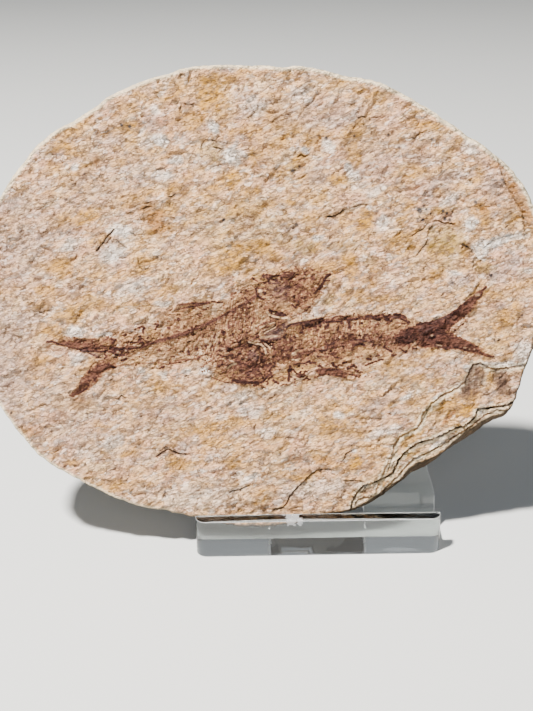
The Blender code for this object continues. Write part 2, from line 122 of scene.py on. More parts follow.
# Grids of points: the spacing of each, how far its points are moved, in spacings, and its
# seed. "hidden" is the stone under the fish.
GRIDS = {
    "face": (0.56, 0.35, 1), "ledge": (0.30, 0.35, 2), "hidden": (1.3, 0.2, 3),
    "speck": (0.22, 0.2, 4), "back": (1.7, 0.3, 6), "fish": (0.17, 0.3, 7),
    "fish floor": (2.2, 0.1, 7),
}
FACE_CLEAR = 0.35  # that the face's points keep from its rim
LINE_CLEAR = 0.12  # and from ledges and cracks
LINE_END_CLEAR = 0.3  # that ledges and cracks keep from the rim
LEDGE_MARGIN = 1.2  # of fine mesh round the broken layers
LEDGE_CORNER = (88.0, 54.0)  # the upper right end of where they are
HIDDEN_CLEAR = 2.0  # from the edge of a fish to the coarse mesh under it
SPECK_HALF = 0.8  # half the side of the square of points round a speck
SPECK_MARGIN = 0.3
SPECK_RISE = (1.55, 0.85)  # radii between which a speck darkens
EDGE_SPACING = 0.8
BACK_CLEAR = 0.9
LINE_SPACING = 0.35  # along ledges and cracks
FISH_SINK = 0.38  # of the stone's face where a fish covers it
SINK_EDGE = (0.6, 1.8)  # over which it sinks
STEP_WIDTH = 0.22  # in plan, of a broken step
WALL_RINGS = 13
BEVEL_RINGS = 4
BEVEL_ROUND = (0.8, 1.3)  # powers by which the rim goes out and down
RIM_SHIFT = 9 / 1.1  # of the rim's noise
WALL_INSET = 0.12
BACK_DEPTH = 0.321
BACK_EDGE = 2.5  # over which the back hollows
SHADED_SIDE_FROM = (0.30, 0.62)  # share of the way to the lower right where the edge turns dark with painted shade
SOFT_NORMALS = 4  # neighbours on each side that an outward direction is averaged over
# Degrees between faces past which an edge is drawn sharp.
SLAB_SHARP = 38
FISH_SHARP = 60
EASEL_SHARP = 30

FLAKE_STRETCH = 1.5
FILM_LENGTH = 8.0  # of the broken films on the face
FILM_NOISE = (12, 4, 0.55)  # its seed, octaves and share
FILM_LEVELS = 4.2
FILM_EDGE = (0.30, 0.62)  # of a level, between which a film's edge rises
FILM_HEIGHT = 0.17
PIT_EDGE = (0.35, 0.75)
PIT_DEPTH = 0.28
LUMP_SHIFT = (7, 3, 1)  # of the lumps' noise from the swells'

# Layers broken away on the lower right: drop, width of the step, depth of the gap left
# open at its foot, where the gap closes to the left, and the line round each, closed
# outside the slab.
LEDGES = (
    (0.25, 1.7, 0.0, 0.0, (
        (95.0, 53.6), (80.8, 51.9), (76.0, 51.2), (72.0, 50.8), (69.0, 51.1), (66.4, 52.0),
        (64.2, 51.9), (62.6, 50.4), (61.9, 48.4), (62.4, 46.8), (66.0, 47.6), (70.0, 48.4),
        (76.0, 48.2), (95.0, 48.0),
    )),
    (0.30, STEP_WIDTH, 0.5, 50.0, (
        (95.0, 52.0), (80.4, 50.3), (78.0, 49.9), (75.8, 49.5), (73.8, 49.1), (70.5, 49.2),
        (68.6, 50.0), (66.6, 50.9), (64.6, 50.5), (63.4, 49.0), (62.9, 46.9), (61.8, 45.2),
        (60.4, 43.7), (58.4, 42.6), (55.8, 41.6), (54.0, 40.3), (52.6, 39.2), (51.4, 38.5),
        (50.9, 37.2), (49.8, 36.2), (48.9, 34.6), (48.5, 32.2), (47.4, 30.8), (46.2, 30.2),
        (43.4, 29.0), (41.4, 27.2), (40.4, 25.0), (39.8, 22.6), (38.4, 19.8), (37.2, 17.4),
        (36.4, 15.4), (33.0, 5.0), (40.0, -8.0), (95.0, -8.0),
    )),
    (0.50, STEP_WIDTH, 0.9, 0.0, (
        (95.0, 40.5), (76.4, 38.6), (75.4, 38.0), (73.6, 37.6), (71.6, 37.3), (69.4, 37.0),
        (67.2, 36.9), (66.0, 36.8), (65.5, 35.2), (65.2, 34.2), (64.2, 33.2), (63.0, 32.2),
        (61.6, 31.4), (59.4, 30.9), (57.4, 29.9), (55.2, 28.6), (52.8, 27.8), (50.6, 27.1),
        (48.6, 26.5), (46.6, 25.4), (44.6, 24.0), (43.0, 22.5), (41.8, 20.9), (41.2, 19.4),
        (40.6, 18.0), (39.8, 16.6), (38.8, 16.2), (37.4, 15.4), (35.4, 14.4), (33.2, 13.9),
        (31.4, 13.4), (30.2, 12.2), (29.0, 10.6), (28.0, 8.8), (27.2, 7.2), (26.0, -8.0),
        (95.0, -8.0),
    )),
    (0.35, STEP_WIDTH, 0.5, 0.0, (
        (95.0, 37.0), (72.0, 36.2), (69.6, 35.2), (68.2, 34.4), (66.6, 33.2), (65.0, 31.8),
        (62.4, 30.2), (60.0, 28.6), (57.6, 26.8), (54.6, 24.9), (52.0, 23.5), (48.6, 22.0),
        (46.4, 21.0), (44.6, 19.0), (43.0, 17.2), (41.0, 15.0), (38.6, 12.4), (35.4, 9.8),
        (32.8, 9.3), (30.6, 9.1), (28.6, 7.4), (28.0, -8.0), (95.0, -8.0),
    )),
    (0.90, STEP_WIDTH, 0.0, 0.0, (
        (71.0, 113.0), (71.9, 108.6), (72.4, 107.4), (74.6, 102.5), (76.4, 99.6), (78.2, 97.1),
        (79.1, 93.3), (79.8, 89.4), (81.6, 87.6), (95.0, 87.0), (95.0, 113.0),
    )),
)

# Open cracks and the edges of small flakes: depth of the gap, drop of the side to the
# right of the line, and the line.
SCARPS = """
0.9 0.35  2.4,4.6 4,6 6.4,6.4 7.6,7.6 8.4,9.6 9.6,11.2 11.4,13.2 13.6,15.2 15.6,17
  17.4,18.1 19.4,18.3 22,18.2
0.6 0.25  24.2,20.2 25.4,21.6 26,23.2 27,23.7 28.8,24.6
0.5 0.15  24.6,14.7 28,14.6 30,14.5 31.4,14
0.9 0.25  -48.6,86 -46.5,88.4 -44.4,91.2 -42.2,93.2
0.7 0.10  -45.7,88.1 -44.4,89.6 -43.4,90.7
0.4 0.15  -42.9,90.3 -40.8,88.2 -38.6,86.7
0.4 0.20  -38.2,92 -36.9,91.2 -35.8,90.2
0.5 0.20  -35.9,81.8 -35.8,84.8
0.5 0.25  -34.9,80.6 -33.2,80.9 -32,81.9
0.6 0.20  -22.5,126 -21.7,129.4
0.3 0.20  -21.7,129.4 -19.8,128.7 -17.4,129.1
0.4 0.20  -16.5,115 -16,117.3 -14.9,118.6 -12.8,118.4 -11,117.9 -7.6,117.3
0.6 0.15  -13.1,116.7 -12,116.2 -10.8,116 -9.8,115.5
0.9 0.30  -27,102 -25.2,102.2 -23.7,103.3
0.8 0.25  -34.6,98.3 -33,99.2 -31.4,99.1
0.4 0.15  -33.6,100 -31,100.9
0.5 0.20  -29.9,109.8 -28.6,110.5 -26.6,110.6
0.4 0.15  -38.9,123.2 -37,122.6
0.3 0.20  -35.3,119.6 -33.9,121.8
1.1 0.35  20,95.6 21.6,95.5 23.4,95.8 24.6,96.6 26.3,98.1
0.5 0.25  28,98.1 30.2,98.8 31.6,98.9 33.2,98.3
0.3 0.20  4.2,122.6 5.6,124.2 7.6,125.2 10.2,125.4
0.6 0.20  29.5,124.1 31.2,124.6 33.4,124.2
0.3 0.15  33.4,123.9 36,124.3 38.4,124.4
0.6 0.25  45.2,117.9 46.8,118.2 48.4,119.6 50,119.8
0.6 0.30  11.8,112.6 13.2,113.8 14.4,113.1 15.6,114.2
0.4 0.15  9.4,88.4 10.9,89.7
0.4 0.15  34,90.2 36.2,90.7
0.4 0.20  51.6,100.3 54,100.9 55.8,101.2
0.4 0.15  73.2,90.6 75.1,92.4
1.1 0.25  59.4,92.3 58.2,92.6 57,93 55.4,93.1 54.2,93.6 52.6,93.7 51.6,93.4
0.6 0.20  45.2,88.8 47.2,90.2 49.4,91.4 50.4,92.6 51.8,93.5
0.4 0.15  50.3,88.2 51.2,91 52.5,93.2
0.6 0.20  47,83 48.8,85.2 50.2,87 51,89
0.9 0.30  -32.8,22.7 -30.6,24.4 -28.6,25.5 -26.8,24.7 -24.8,23.9 -21.6,23.9
0.4 0.15  -31.9,24.5 -29.2,26.2 -28,26
0.7 0.30  -10.6,10.6 -9.2,12 -7,12.3 -5,13.2 -3.2,14
0.6 0.20  -44.8,41.8 -43.2,41.3 -42.3,42.5 -41.3,41.6 -40.2,41.7
0.9 0.20  -35,42.5 -34.2,43.2 -33.3,43.5
0.7 0.20  -23.4,47.4 -22.4,48.2 -21.2,48.2
0.4 0.15  -22.8,47.2 -21,47.9
0.5 0.20  -43.5,28.8 -42.7,29.8
0.5 0.20  -46.2,47 -44.2,47.7
1 0.25  -16.6,47.4 -15.2,47.8 -14.4,48.3 -13.9,48.7 -13.3,49.4
0.4 0.15  30.8,35.7 33,36.6 35.6,36.9
0.4 0.15  0.4,40 2.6,40.4 4.4,41.6 5.6,42.5
0.3 0.20  9.8,30.8 12,32.2
0.3 0.15  -0.4,15 0.6,16.4 2.2,17.2
0.5 0.20  79.8,58.2 78.6,56.6 77.8,54.8 76.4,53.6 74.6,53.1
0.5 0.20  38.6,16.6 39.4,19.6 40.2,21.6 41.2,22.8 42.4,24.5
0.4 0.20  39.8,18 40.5,19.8 41.3,21.4
0.5 0.20  49.2,31.6 49.6,33.4 50.4,35.2 51.5,37.2
0.4 0.20  47.4,28.6 44.8,27 43.2,25.2 42.6,23.6
0.5 0.25  54.2,24.7 56.4,26.4 58.6,27.6 60.6,28.8
0.6 0.20  29.6,9.6 30.6,10.6 31.6,12 32.8,13
0.4 0.20  58.2,63.4 62,66.2 66,67.8
0.3 0.20  -70,66 -66,68.2 -62,69
0.5 0.15  61,86.2 61.5,85
0.4 0.20  63.9,78.6 64.6,80.6 64.4,82
0.8 0.35  60.4,86.3 61.6,86.3 62.8,85.8 63.8,84.8 64.5,83.4
0.2 0.30  64.5,83.4 66.2,81.6 67.4,81.9
0.2 0.10  72.2,108.4 74.6,102.6 76.4,99.7 78.1,97.1 79,93.3 79.7,89.6
0.3 0.25  66.8,85 70,87.4 73.2,88.6 77,89.4 81.4,89.4
"""
SCARP_FADE = 2.2  # how far the dropped side takes to rise again
SCARP_TAPER = 1.2  # from each end
CRACK_WIDTH = 0.30
CRACK_SIDE = 0.9  # crack widths from its line to the lines of points beside it
CRACK_SHADE_RANGE = (0.38, 0.10)  # distances between which a crack darkens with painted shade
GROOVE_IN = 0.35  # from a ledge's line to the middle of the gap at its foot
GROOVE_HALF = 0.30
FOOT_IN = 0.22  # and to the middle of the painted shadow below its step
FOOT_CLOSES = (6.0, 2.0)  # left and right of where a gap closes, its painted shadow fades
# Distances between which the pale inside starts and ends below a ledge, and ends above it.
PALE_START = (0.5, 0.8)
PALE_END = (1.9, 1.1)
PALE_ABOVE = (0.8, 0.2)
RANDOM_SCARPS = 150
SCARP_SEED = 41
SCARP_FIELD = ((-84, 84), (3, 138))  # where the small ones lie
SCARP_LENGTHS = (1.6, 5.0)
SCARP_GAPS = (0.0, 0.25)
SCARP_DROPS = (0.08, 0.26)
SCARP_POINTS = 5
SCARP_TURN = 0.45  # spread of their angles round the grain's
SCARP_WANDER = 0.22

# Patches of each colour: strength, half length, half width, angle and middle.
PATCHES = {
    "ochre": """
.80 6.2 4.6 80 -13 132
.50 3 2 0 -8.5 136
.45 4 2.8 0 -38 127.5
.60 3 2 0 -36.8 122.8
.60 5 1.8 25 -54 121.5
.50 3 2 0 -57 118
.55 3 2 0 -54 115.5
.50 3 1.8 0 -41 112.5
.40 4 3 0 -9 121.5
.50 3 2.4 0 -2 121
.45 2 3.5 0 -1.5 113
.80 2.4 3.6 10 -7.4 106.8
.60 3 1.5 0 -1 103
.40 2.5 2 0 -24 105
.65 4.5 2.8 20 -50.8 97
.50 2.5 1.5 0 -57.2 96.6
.45 5 3 -50 -31 96
.50 3 1.5 0 -25.6 98.2
.35 3 2 0 -17 97
.70 5 2.4 10 -6 86.2
.65 3.4 3 0 0.8 86.8
.60 2.6 2 0 5.4 84.4
.65 5.2 2.6 10 -10 82
.50 6 2 0 -61 82
.60 4 1.8 0 -64 75
.35 2 1.5 0 -70 105
.60 5 2.2 10 -28 74
.45 4 1.8 0 -40 70.6
.40 4 1.5 0 -48 70
.50 2.5 1.5 0 8.5 137
.40 2 2 0 12 121.5
.55 4 2.4 0 16.2 118
.50 1.5 1 0 19.5 121
.60 3 2.2 0 13.2 112.8
.50 2.5 2.4 0 7 108
.60 4 2.8 30 28 119.5
.65 2.8 3.4 0 28.8 113.2
.60 2.5 1.5 0 30.5 132.5
.45 4 2.6 0 36 130.5
.75 4.2 1.8 0 25 106.4
.60 3 2.2 45 18.4 101.2
.60 2 1 0 9.5 99.8
.80 3 4.4 0 32.2 94.2
.55 5 3.2 0 44 87
.50 2 1.5 0 42.5 94
.45 2 1 0 36.5 89
.75 2.4 4.4 0 27.8 80.4
.75 3.5 1.5 -10 51.5 121.6
.50 3 2 0 47 122
.50 9 2.2 -62 78 100
.50 2 1.2 0 54 119.4
.45 4 2.5 0 45 109
.40 3 2 0 49 107.5
.50 1.5 1.2 0 60.5 117.5
.50 2 3 0 66 107.5
.50 1.5 1 0 64.4 105.5
.50 1.6 1 0 54 102.6
.60 2 4 0 67.6 94.6
.50 1.5 1 0 64.4 96
.35 5 3.4 20 53.4 83.6
.60 2.4 1.6 0 45.6 98.8
.65 1.4 2.4 0 62.2 84.2
.45 2 1 0 62 79
.60 5 2.5 -10 -62 62.4
.65 4.5 2.8 0 -56.2 67.4
.40 2 2 0 -17.6 41.6
.65 4 2.8 0 -17 31.4
.50 2 2 0 -14.4 33
.40 3 2 0 -22 31
.40 2.5 1.5 0 -16 27.6
.30 4 2.5 0 -42 45.4
.60 2.5 1.2 0 -57.5 21.8
.55 3 1.8 20 -45 14.2
.35 2 1.2 0 -49 24.5
.50 5 2.4 -10 -26 21
.40 3 1.5 0 -10 22
.35 2.5 1.5 0 -7 26
.55 4 2.5 0 -1 10
.50 3 2 0 22 38
.65 4 3.8 0 21 31.2
.40 2 1.5 0 25.4 33.6
.50 2.4 1.2 0 31 34.6
.60 3.6 2 0 18.6 21.8
.85 2.2 2.8 0 28.8 20.4
.35 3 2 0 36 23.5
.50 2.4 1.5 0 48 46
.60 2 1.5 0 54 45.4
.60 5 2.6 60 74.4 63
.50 2 3 0 77.4 67.4
.90 4 2 30 63 36.4
.60 6 2.6 42 57 36.6
.55 4 1.8 15 64.6 40.6
.55 3.6 2 45 46 27.4
.50 3.2 1.3 85 69.8 45.6
.50 2.5 2 0 31.4 71
.30 8 1.5 0 45 68.4
.35 4 2 0 3 12
.22 5 3 0 12 10
.50 2 1 0 27 46
.26 6 2.5 0 10 4.6
.22 8 3 0 34 8
.35 6 9 0 4 118
.35 5 4 0 -69 54
.15 22 9 0 36 14
""",
    "rust": """
.40 1.5 2 0 -47.5 113.5
.45 2 1.3 0 -27.5 124.3
.55 5.5 3.2 -50 -30.6 95
.30 2 2 0 -62 104
.30 2 2 0 -53 103
.42 9 1.7 -62 78.2 99.4
.50 2.2 1 0 71.6 109.6
.50 2 1 0 62.5 112.4
.35 1.2 1 0 59.5 114.5
.32 1.5 2.4 0 63.2 82.8
.45 1.4 1.2 0 67.4 96.7
.35 1.4 0.9 0 53.6 102.9
.40 3 2.4 0 -62 36
.40 3 2 0 -70 32.6
.50 2 1.2 0 -54.6 41.4
.35 3 1.5 0 18.6 21
.60 0.9 2.6 -8 9 23.4
.70 4 0.7 48 57.4 34.2
.30 1.4 0.8 0 -55.6 61.8
""",
    "olive": """
.45 4 2.8 0 -12.5 114.6
.50 2 1.5 0 10.5 110.6
.50 5 3 0 13 87
.35 4 2.6 0 26.6 86.4
.35 4 2 0 56 97.6
.70 5.5 6 0 56 86.6
.60 3 1.5 0 68 79.4
.45 3.5 1.5 0 72 55.2
.50 4 2 30 53 37.2
.55 4.2 2.2 30 45 27.6
.50 3 1.4 30 46 22.8
.50 2.2 2 0 21 70.6
.25 18 10 0 -4 92
""",
    "pale": """
.75 3.5 2.4 0 -41 92.4
.70 4 2.8 20 -43.2 85.2
.90 1.6 2.6 60 -28.2 118.6
.40 3 2 0 -32 118
.80 2.6 1.3 -60 -12.6 122.2
.80 3.6 2.8 0 -7 113.8
.65 2.5 1.2 0 -24 112.8
.50 3 1.6 0 -28 108.4
.75 1.2 1.2 0 -53.8 111.2
.50 1.5 1.5 0 -29.5 127.5
.50 2 0.6 50 -33.4 121.6
.45 3.5 1.8 25 -56 88.4
.45 5 2.6 20 -37.6 75.4
.60 2.5 1 0 -29 70.2
.40 3.5 3 0 0 128
1 1.3 0.8 -30 14.4 114.8
.60 2 2 0 21 116.5
.75 1.3 1.3 0 27 110
.65 2 1.5 0 28.5 107.4
.75 2 0.9 0 17.8 89.2
.50 4 1.4 30 35 102.6
.60 2.5 2.2 0 37.4 93.4
.80 2.5 2 0 63.8 93
.90 1 0.6 0 33.4 98
.60 3.2 1.8 -45 63 115
.70 3 1.8 30 66.4 86.2
.60 5 1.5 40 68.4 85
.70 1.4 0.9 -30 66.4 82.6
.60 4 0.9 6 77.4 88.8
.60 3 0.5 -12 58.6 78.2
.45 3.6 1.6 30 57.4 100.2
.80 4.5 1.5 20 72.4 87.6
.60 1.5 1 0 81 78.4
.40 4 2.6 0 14 131
.75 3 2 0 -55.6 62
.50 3 1 0 -47 61
.60 2.5 1.8 0 -55 53.8
.60 1.5 1 0 -36 50
.60 1.5 1 0 -29.5 48.8
.70 1.5 0.8 0 -22 49.6
.95 1.9 1 -20 -16.5 49.5
.45 5 2 20 -6 41
.45 4 2 20 -3 37
.85 2.6 1.1 30 -3.4 16.2
.70 1.2 0.6 0 -18.2 18.6
.70 1 0.5 0 -15.8 5.4
.40 4 2 20 -45 28
.35 4 2 0 -53 25
.40 2 1 0 -12 35.2
.80 2.2 0.8 30 44.4 40.6
.50 4 1.4 20 36 29.6
.60 3 1 30 41 30.6
.60 1.6 1.2 0 24 35.4
.80 1 0.8 0 28.4 24
.40 3 2 0 2 30
.95 2.2 1 20 54 25.4
.90 1.8 1.1 0 67.4 35.6
.95 1.2 0.5 50 31.9 12.4
.60 3.4 3.6 0 79.6 53.6
.80 1.2 0.5 20 48.2 21.2
.70 9 0.9 0 73 50.2
.80 1.3 1.3 0 62.8 49.2
.85 1.6 0.5 40 54 40.9
.30 14 3 8 16 12
.30 16 4 0 -20 10
""",
    "mauve": """
.45 3 1.8 0 -42 119
.40 3 3 0 18 108
.40 2 1.5 0 22 93.4
.50 7 3 20 55 105
.35 5 2 0 48 112
.45 4 3.4 0 70 105
.75 5 1.8 8 60.6 75.8
.60 3 2 0 72 77
.40 3 4 0 76 82
.35 4 3 0 8 124
.40 5 3 30 -69 66
.45 7 2.4 30 35 38
.55 3 1.5 0 69.2 41.2
.55 9 20 0 -77 50
.40 9 10 0 -70 84
.35 12 5 -20 -56 30
.30 14 10 0 -68 96
.25 14 8 30 -44 108
.30 12 7 0 -58 42
.25 14 5 20 -30 36
.30 12 6 0 20 126
.30 8 8 0 34 112
""",
}
# The brown stain on the lowest layer, in two parts: strength and outline.
STAINS = """
0.86  62.8,48.9 64.6,50 66.8,50.2 68.6,49.2 68.2,46.4 67,43.4 66.2,40.4 60.2,40 60.9,42.8
  62.2,45.4
0.8  70.8,49 74.8,48.8 75.6,45 76.9,40.4 72.6,40.2 71.2,44.2
"""
STAIN_EDGE = 0.8  # over which it fades
PATCH_EDGE = (1.35, 0.45)  # radii between which a patch gains its full strength
PATCH_REACH = 2.2  # radii that are looked at for its ragged edge
AREA_EDGE = (1.45, 0.35)  # the same of an area on the fish
AREA_REACH = 1.5
EDGE_PATCHES = 0.35  # share of the patches that shows on the stone's edge and back
FRESH_AND_LIT_EDGE = 0.7  # reach of the pale broken rim on the face: fresh stone, and a painted highlight on the side that faces the light
# reach on the face of the painted shade along the lower right edge
EDGE_SHADE_REACH = 0.5

# Dark mineral specks: strength, radius and middle.
SPECKS = """
.9 .45 -39.6 123.2
.9 .45 -37.2 122.7
.8 .40 -4.9 133.1
.9 .45 -10.1 95.1
.8 .30 -51 109.2
.6 .35 -56.8 101.6
.6 .35 -62.2 113
.8 .40 20.7 118.5
.7 .28 28.9 119
.7 .38 38.8 119
.6 .32 51.7 117.6
.8 .50 10.6 109.2
.7 .35 12.6 110.4
.6 .35 6.2 108.8
.6 .35 40.8 114.2
.7 .40 42.2 115.5
.8 .48 11.6 93.2
.6 .32 4.4 129.2
.9 .70 48.2 96.8
.8 .35 49.4 98.2
.8 .35 50.2 97.2
.7 .30 48.4 94.8
.9 .42 49.3 94.1
.7 .28 47.6 93.6
.7 .28 51.4 96
.9 .44 55.3 96.6
.8 .38 48 97.4
.8 .38 47.7 94.4
.9 .42 55.9 94.1
.9 .42 57.3 94
.8 .35 57.7 95
.7 .28 58.2 96.1
.7 .38 61.2 86.7
.6 .34 62.2 86.1
.9 .46 69.8 77.2
.8 .36 44.1 75.5
.9 .42 56.4 95.9
.7 .30 55.8 94.6
.7 .30 56.8 93.8
.6 .28 59.3 94.6
.6 .26 55 95.8
.6 .24 57.6 97
.9 .50 64.9 99.1
.6 .35 52.9 76.3
.6 .35 55 76.6
.6 .45 56.6 74.6
.6 .35 58.2 75.2
.7 .35 57 80.3
.8 .40 72.8 105.6
.7 .35 73.4 104.6
.8 .32 -29.9 12
.8 .28 -29.8 10.6
.7 .26 -28 13.5
.7 .40 -75.9 37.8
.6 .35 -53 36.8
.5 .40 -65.8 32.8
.5 .35 -63.8 32.2
.5 .30 -64.6 34
.6 .35 -5.4 25.8
.8 .38 66.3 57.6
.8 .30 70.9 57.6
.8 .34 72.2 57.6
.7 .28 71.2 58.8
.7 .35 79.8 67.6
.7 .32 79.3 64.9
.6 .25 65 74
.6 .25 66.2 73.8
"""

# ------------------------------------------------------------ the fish, mm

LEFT_FISH = (
    (21.4, 78.8), (19.6, 74.8), (16.2, 69.4), (12.6, 66.2), (8.6, 65.0), (5.6, 63.6),
    (1.4, 61.8), (-3.6, 59.2), (-10.2, 55.2), (-19.3, 53.1), (-29.3, 50.9), (-39.6, 52.2),
    (-44.6, 51.4), (-48.2, 48.8), (-52.8, 44.6), (-57.5, 42.1), (-54.2, 46.8), (-50.6, 51.6),
    (-49.8, 55.0), (-54.6, 57.2), (-63.7, 59.6), (-57.1, 60.2), (-46.2, 59.9), (-35.0, 63.2),
    (-26.4, 68.1), (-20.0, 70.0), (-10.5, 70.8), (-7.4, 73.2), (-2.3, 77.3), (7.9, 79.4),
    (15.1, 80.2),
)
LEFT_SPINE = (
    (0.7, 73.4), (-3.9, 70.5), (-9.0, 67.5), (-14.2, 64.2), (-20.9, 61.5), (-26.7, 59.6),
    (-34.6, 57.4), (-42.5, 55.7), (-49.4, 55.1),
)
LEFT_SKULL = ((10.5, 73.0), 9.5)
RIGHT_FISH = (
    (-17.5, 50.7), (-10.8, 53.9), (-3.4, 58.0), (1.8, 60.6), (6.0, 62.4), (9.4, 63.9),
    (20.7, 65.5), (32.7, 65.8), (41.7, 66.0), (45.4, 63.6), (50.6, 62.6), (57.6, 65.2),
    (63.2, 69.4), (68.4, 73.5), (64.8, 67.4), (60.4, 62.6), (57.2, 59.8), (62.4, 57.0),
    (70.1, 52.6), (61.6, 54.2), (54.6, 56.0), (46.2, 55.2), (37.5, 52.0), (33.6, 49.6),
    (30.2, 46.9), (24.2, 47.0), (20.0, 48.6), (14.2, 46.6), (6.6, 44.4), (-1.0, 44.8),
    (-7.1, 46.0), (-14.3, 47.6),
)
RIGHT_SPINE = (
    (5.2, 52.7), (12.1, 54.1), (18.2, 55.6), (26.6, 57.3), (34.0, 58.2), (41.7, 58.9),
    (50.4, 60.8), (56.4, 60.2),
)
RIGHT_SKULL = ((-4.5, 51.2), 9.5)
FISH_CLEAR = 0.10  # that its points keep from its edge
OUTLINE_SPACING = 0.3
FISH_MARGIN = 1.3  # of stone taken in round each fish, so that its edge is lost in the face
FISH_FLOOR_CLEAR = 0.7
FISH_THICKNESS = 0.30  # below the stone's face
FISH_LIFT = 0.26  # of the flesh above its own sunken edge
FISH_SUNK = 0.12
FISH_EDGE = 1.1  # over which it rises from the stone
SPINE_LIFT = 0.22
SPINE_HALF = 0.9
BEAD_LENGTH = 1.35  # of one vertebra
SKULL_LIFT = 0.35
OVERLAP_SINK = 0.06  # of the left fish where the right one lies over it
OVERLAP_EDGE = (0.2, 0.8)  # over which it sinks
FORM_EDGE = 0.8  # from a fish's edge, over which its bones rise
COLOUR_EDGE = 0.5  # and its colours start
MARK_MARGIN = 0.6  # past a mark's width that is looked at for its soft edge
# Height of a mark of each kind, in mm.
MARK_RELIEF = {"dark": 0.11, "hollow": -0.30, "rust": 0.05, "grey": 0.03, "pale": 0.16}
FLECK_RELIEF = 0.05
RAY_RELIEF = (0.06, 0.05)  # of the rays and of the rock between them
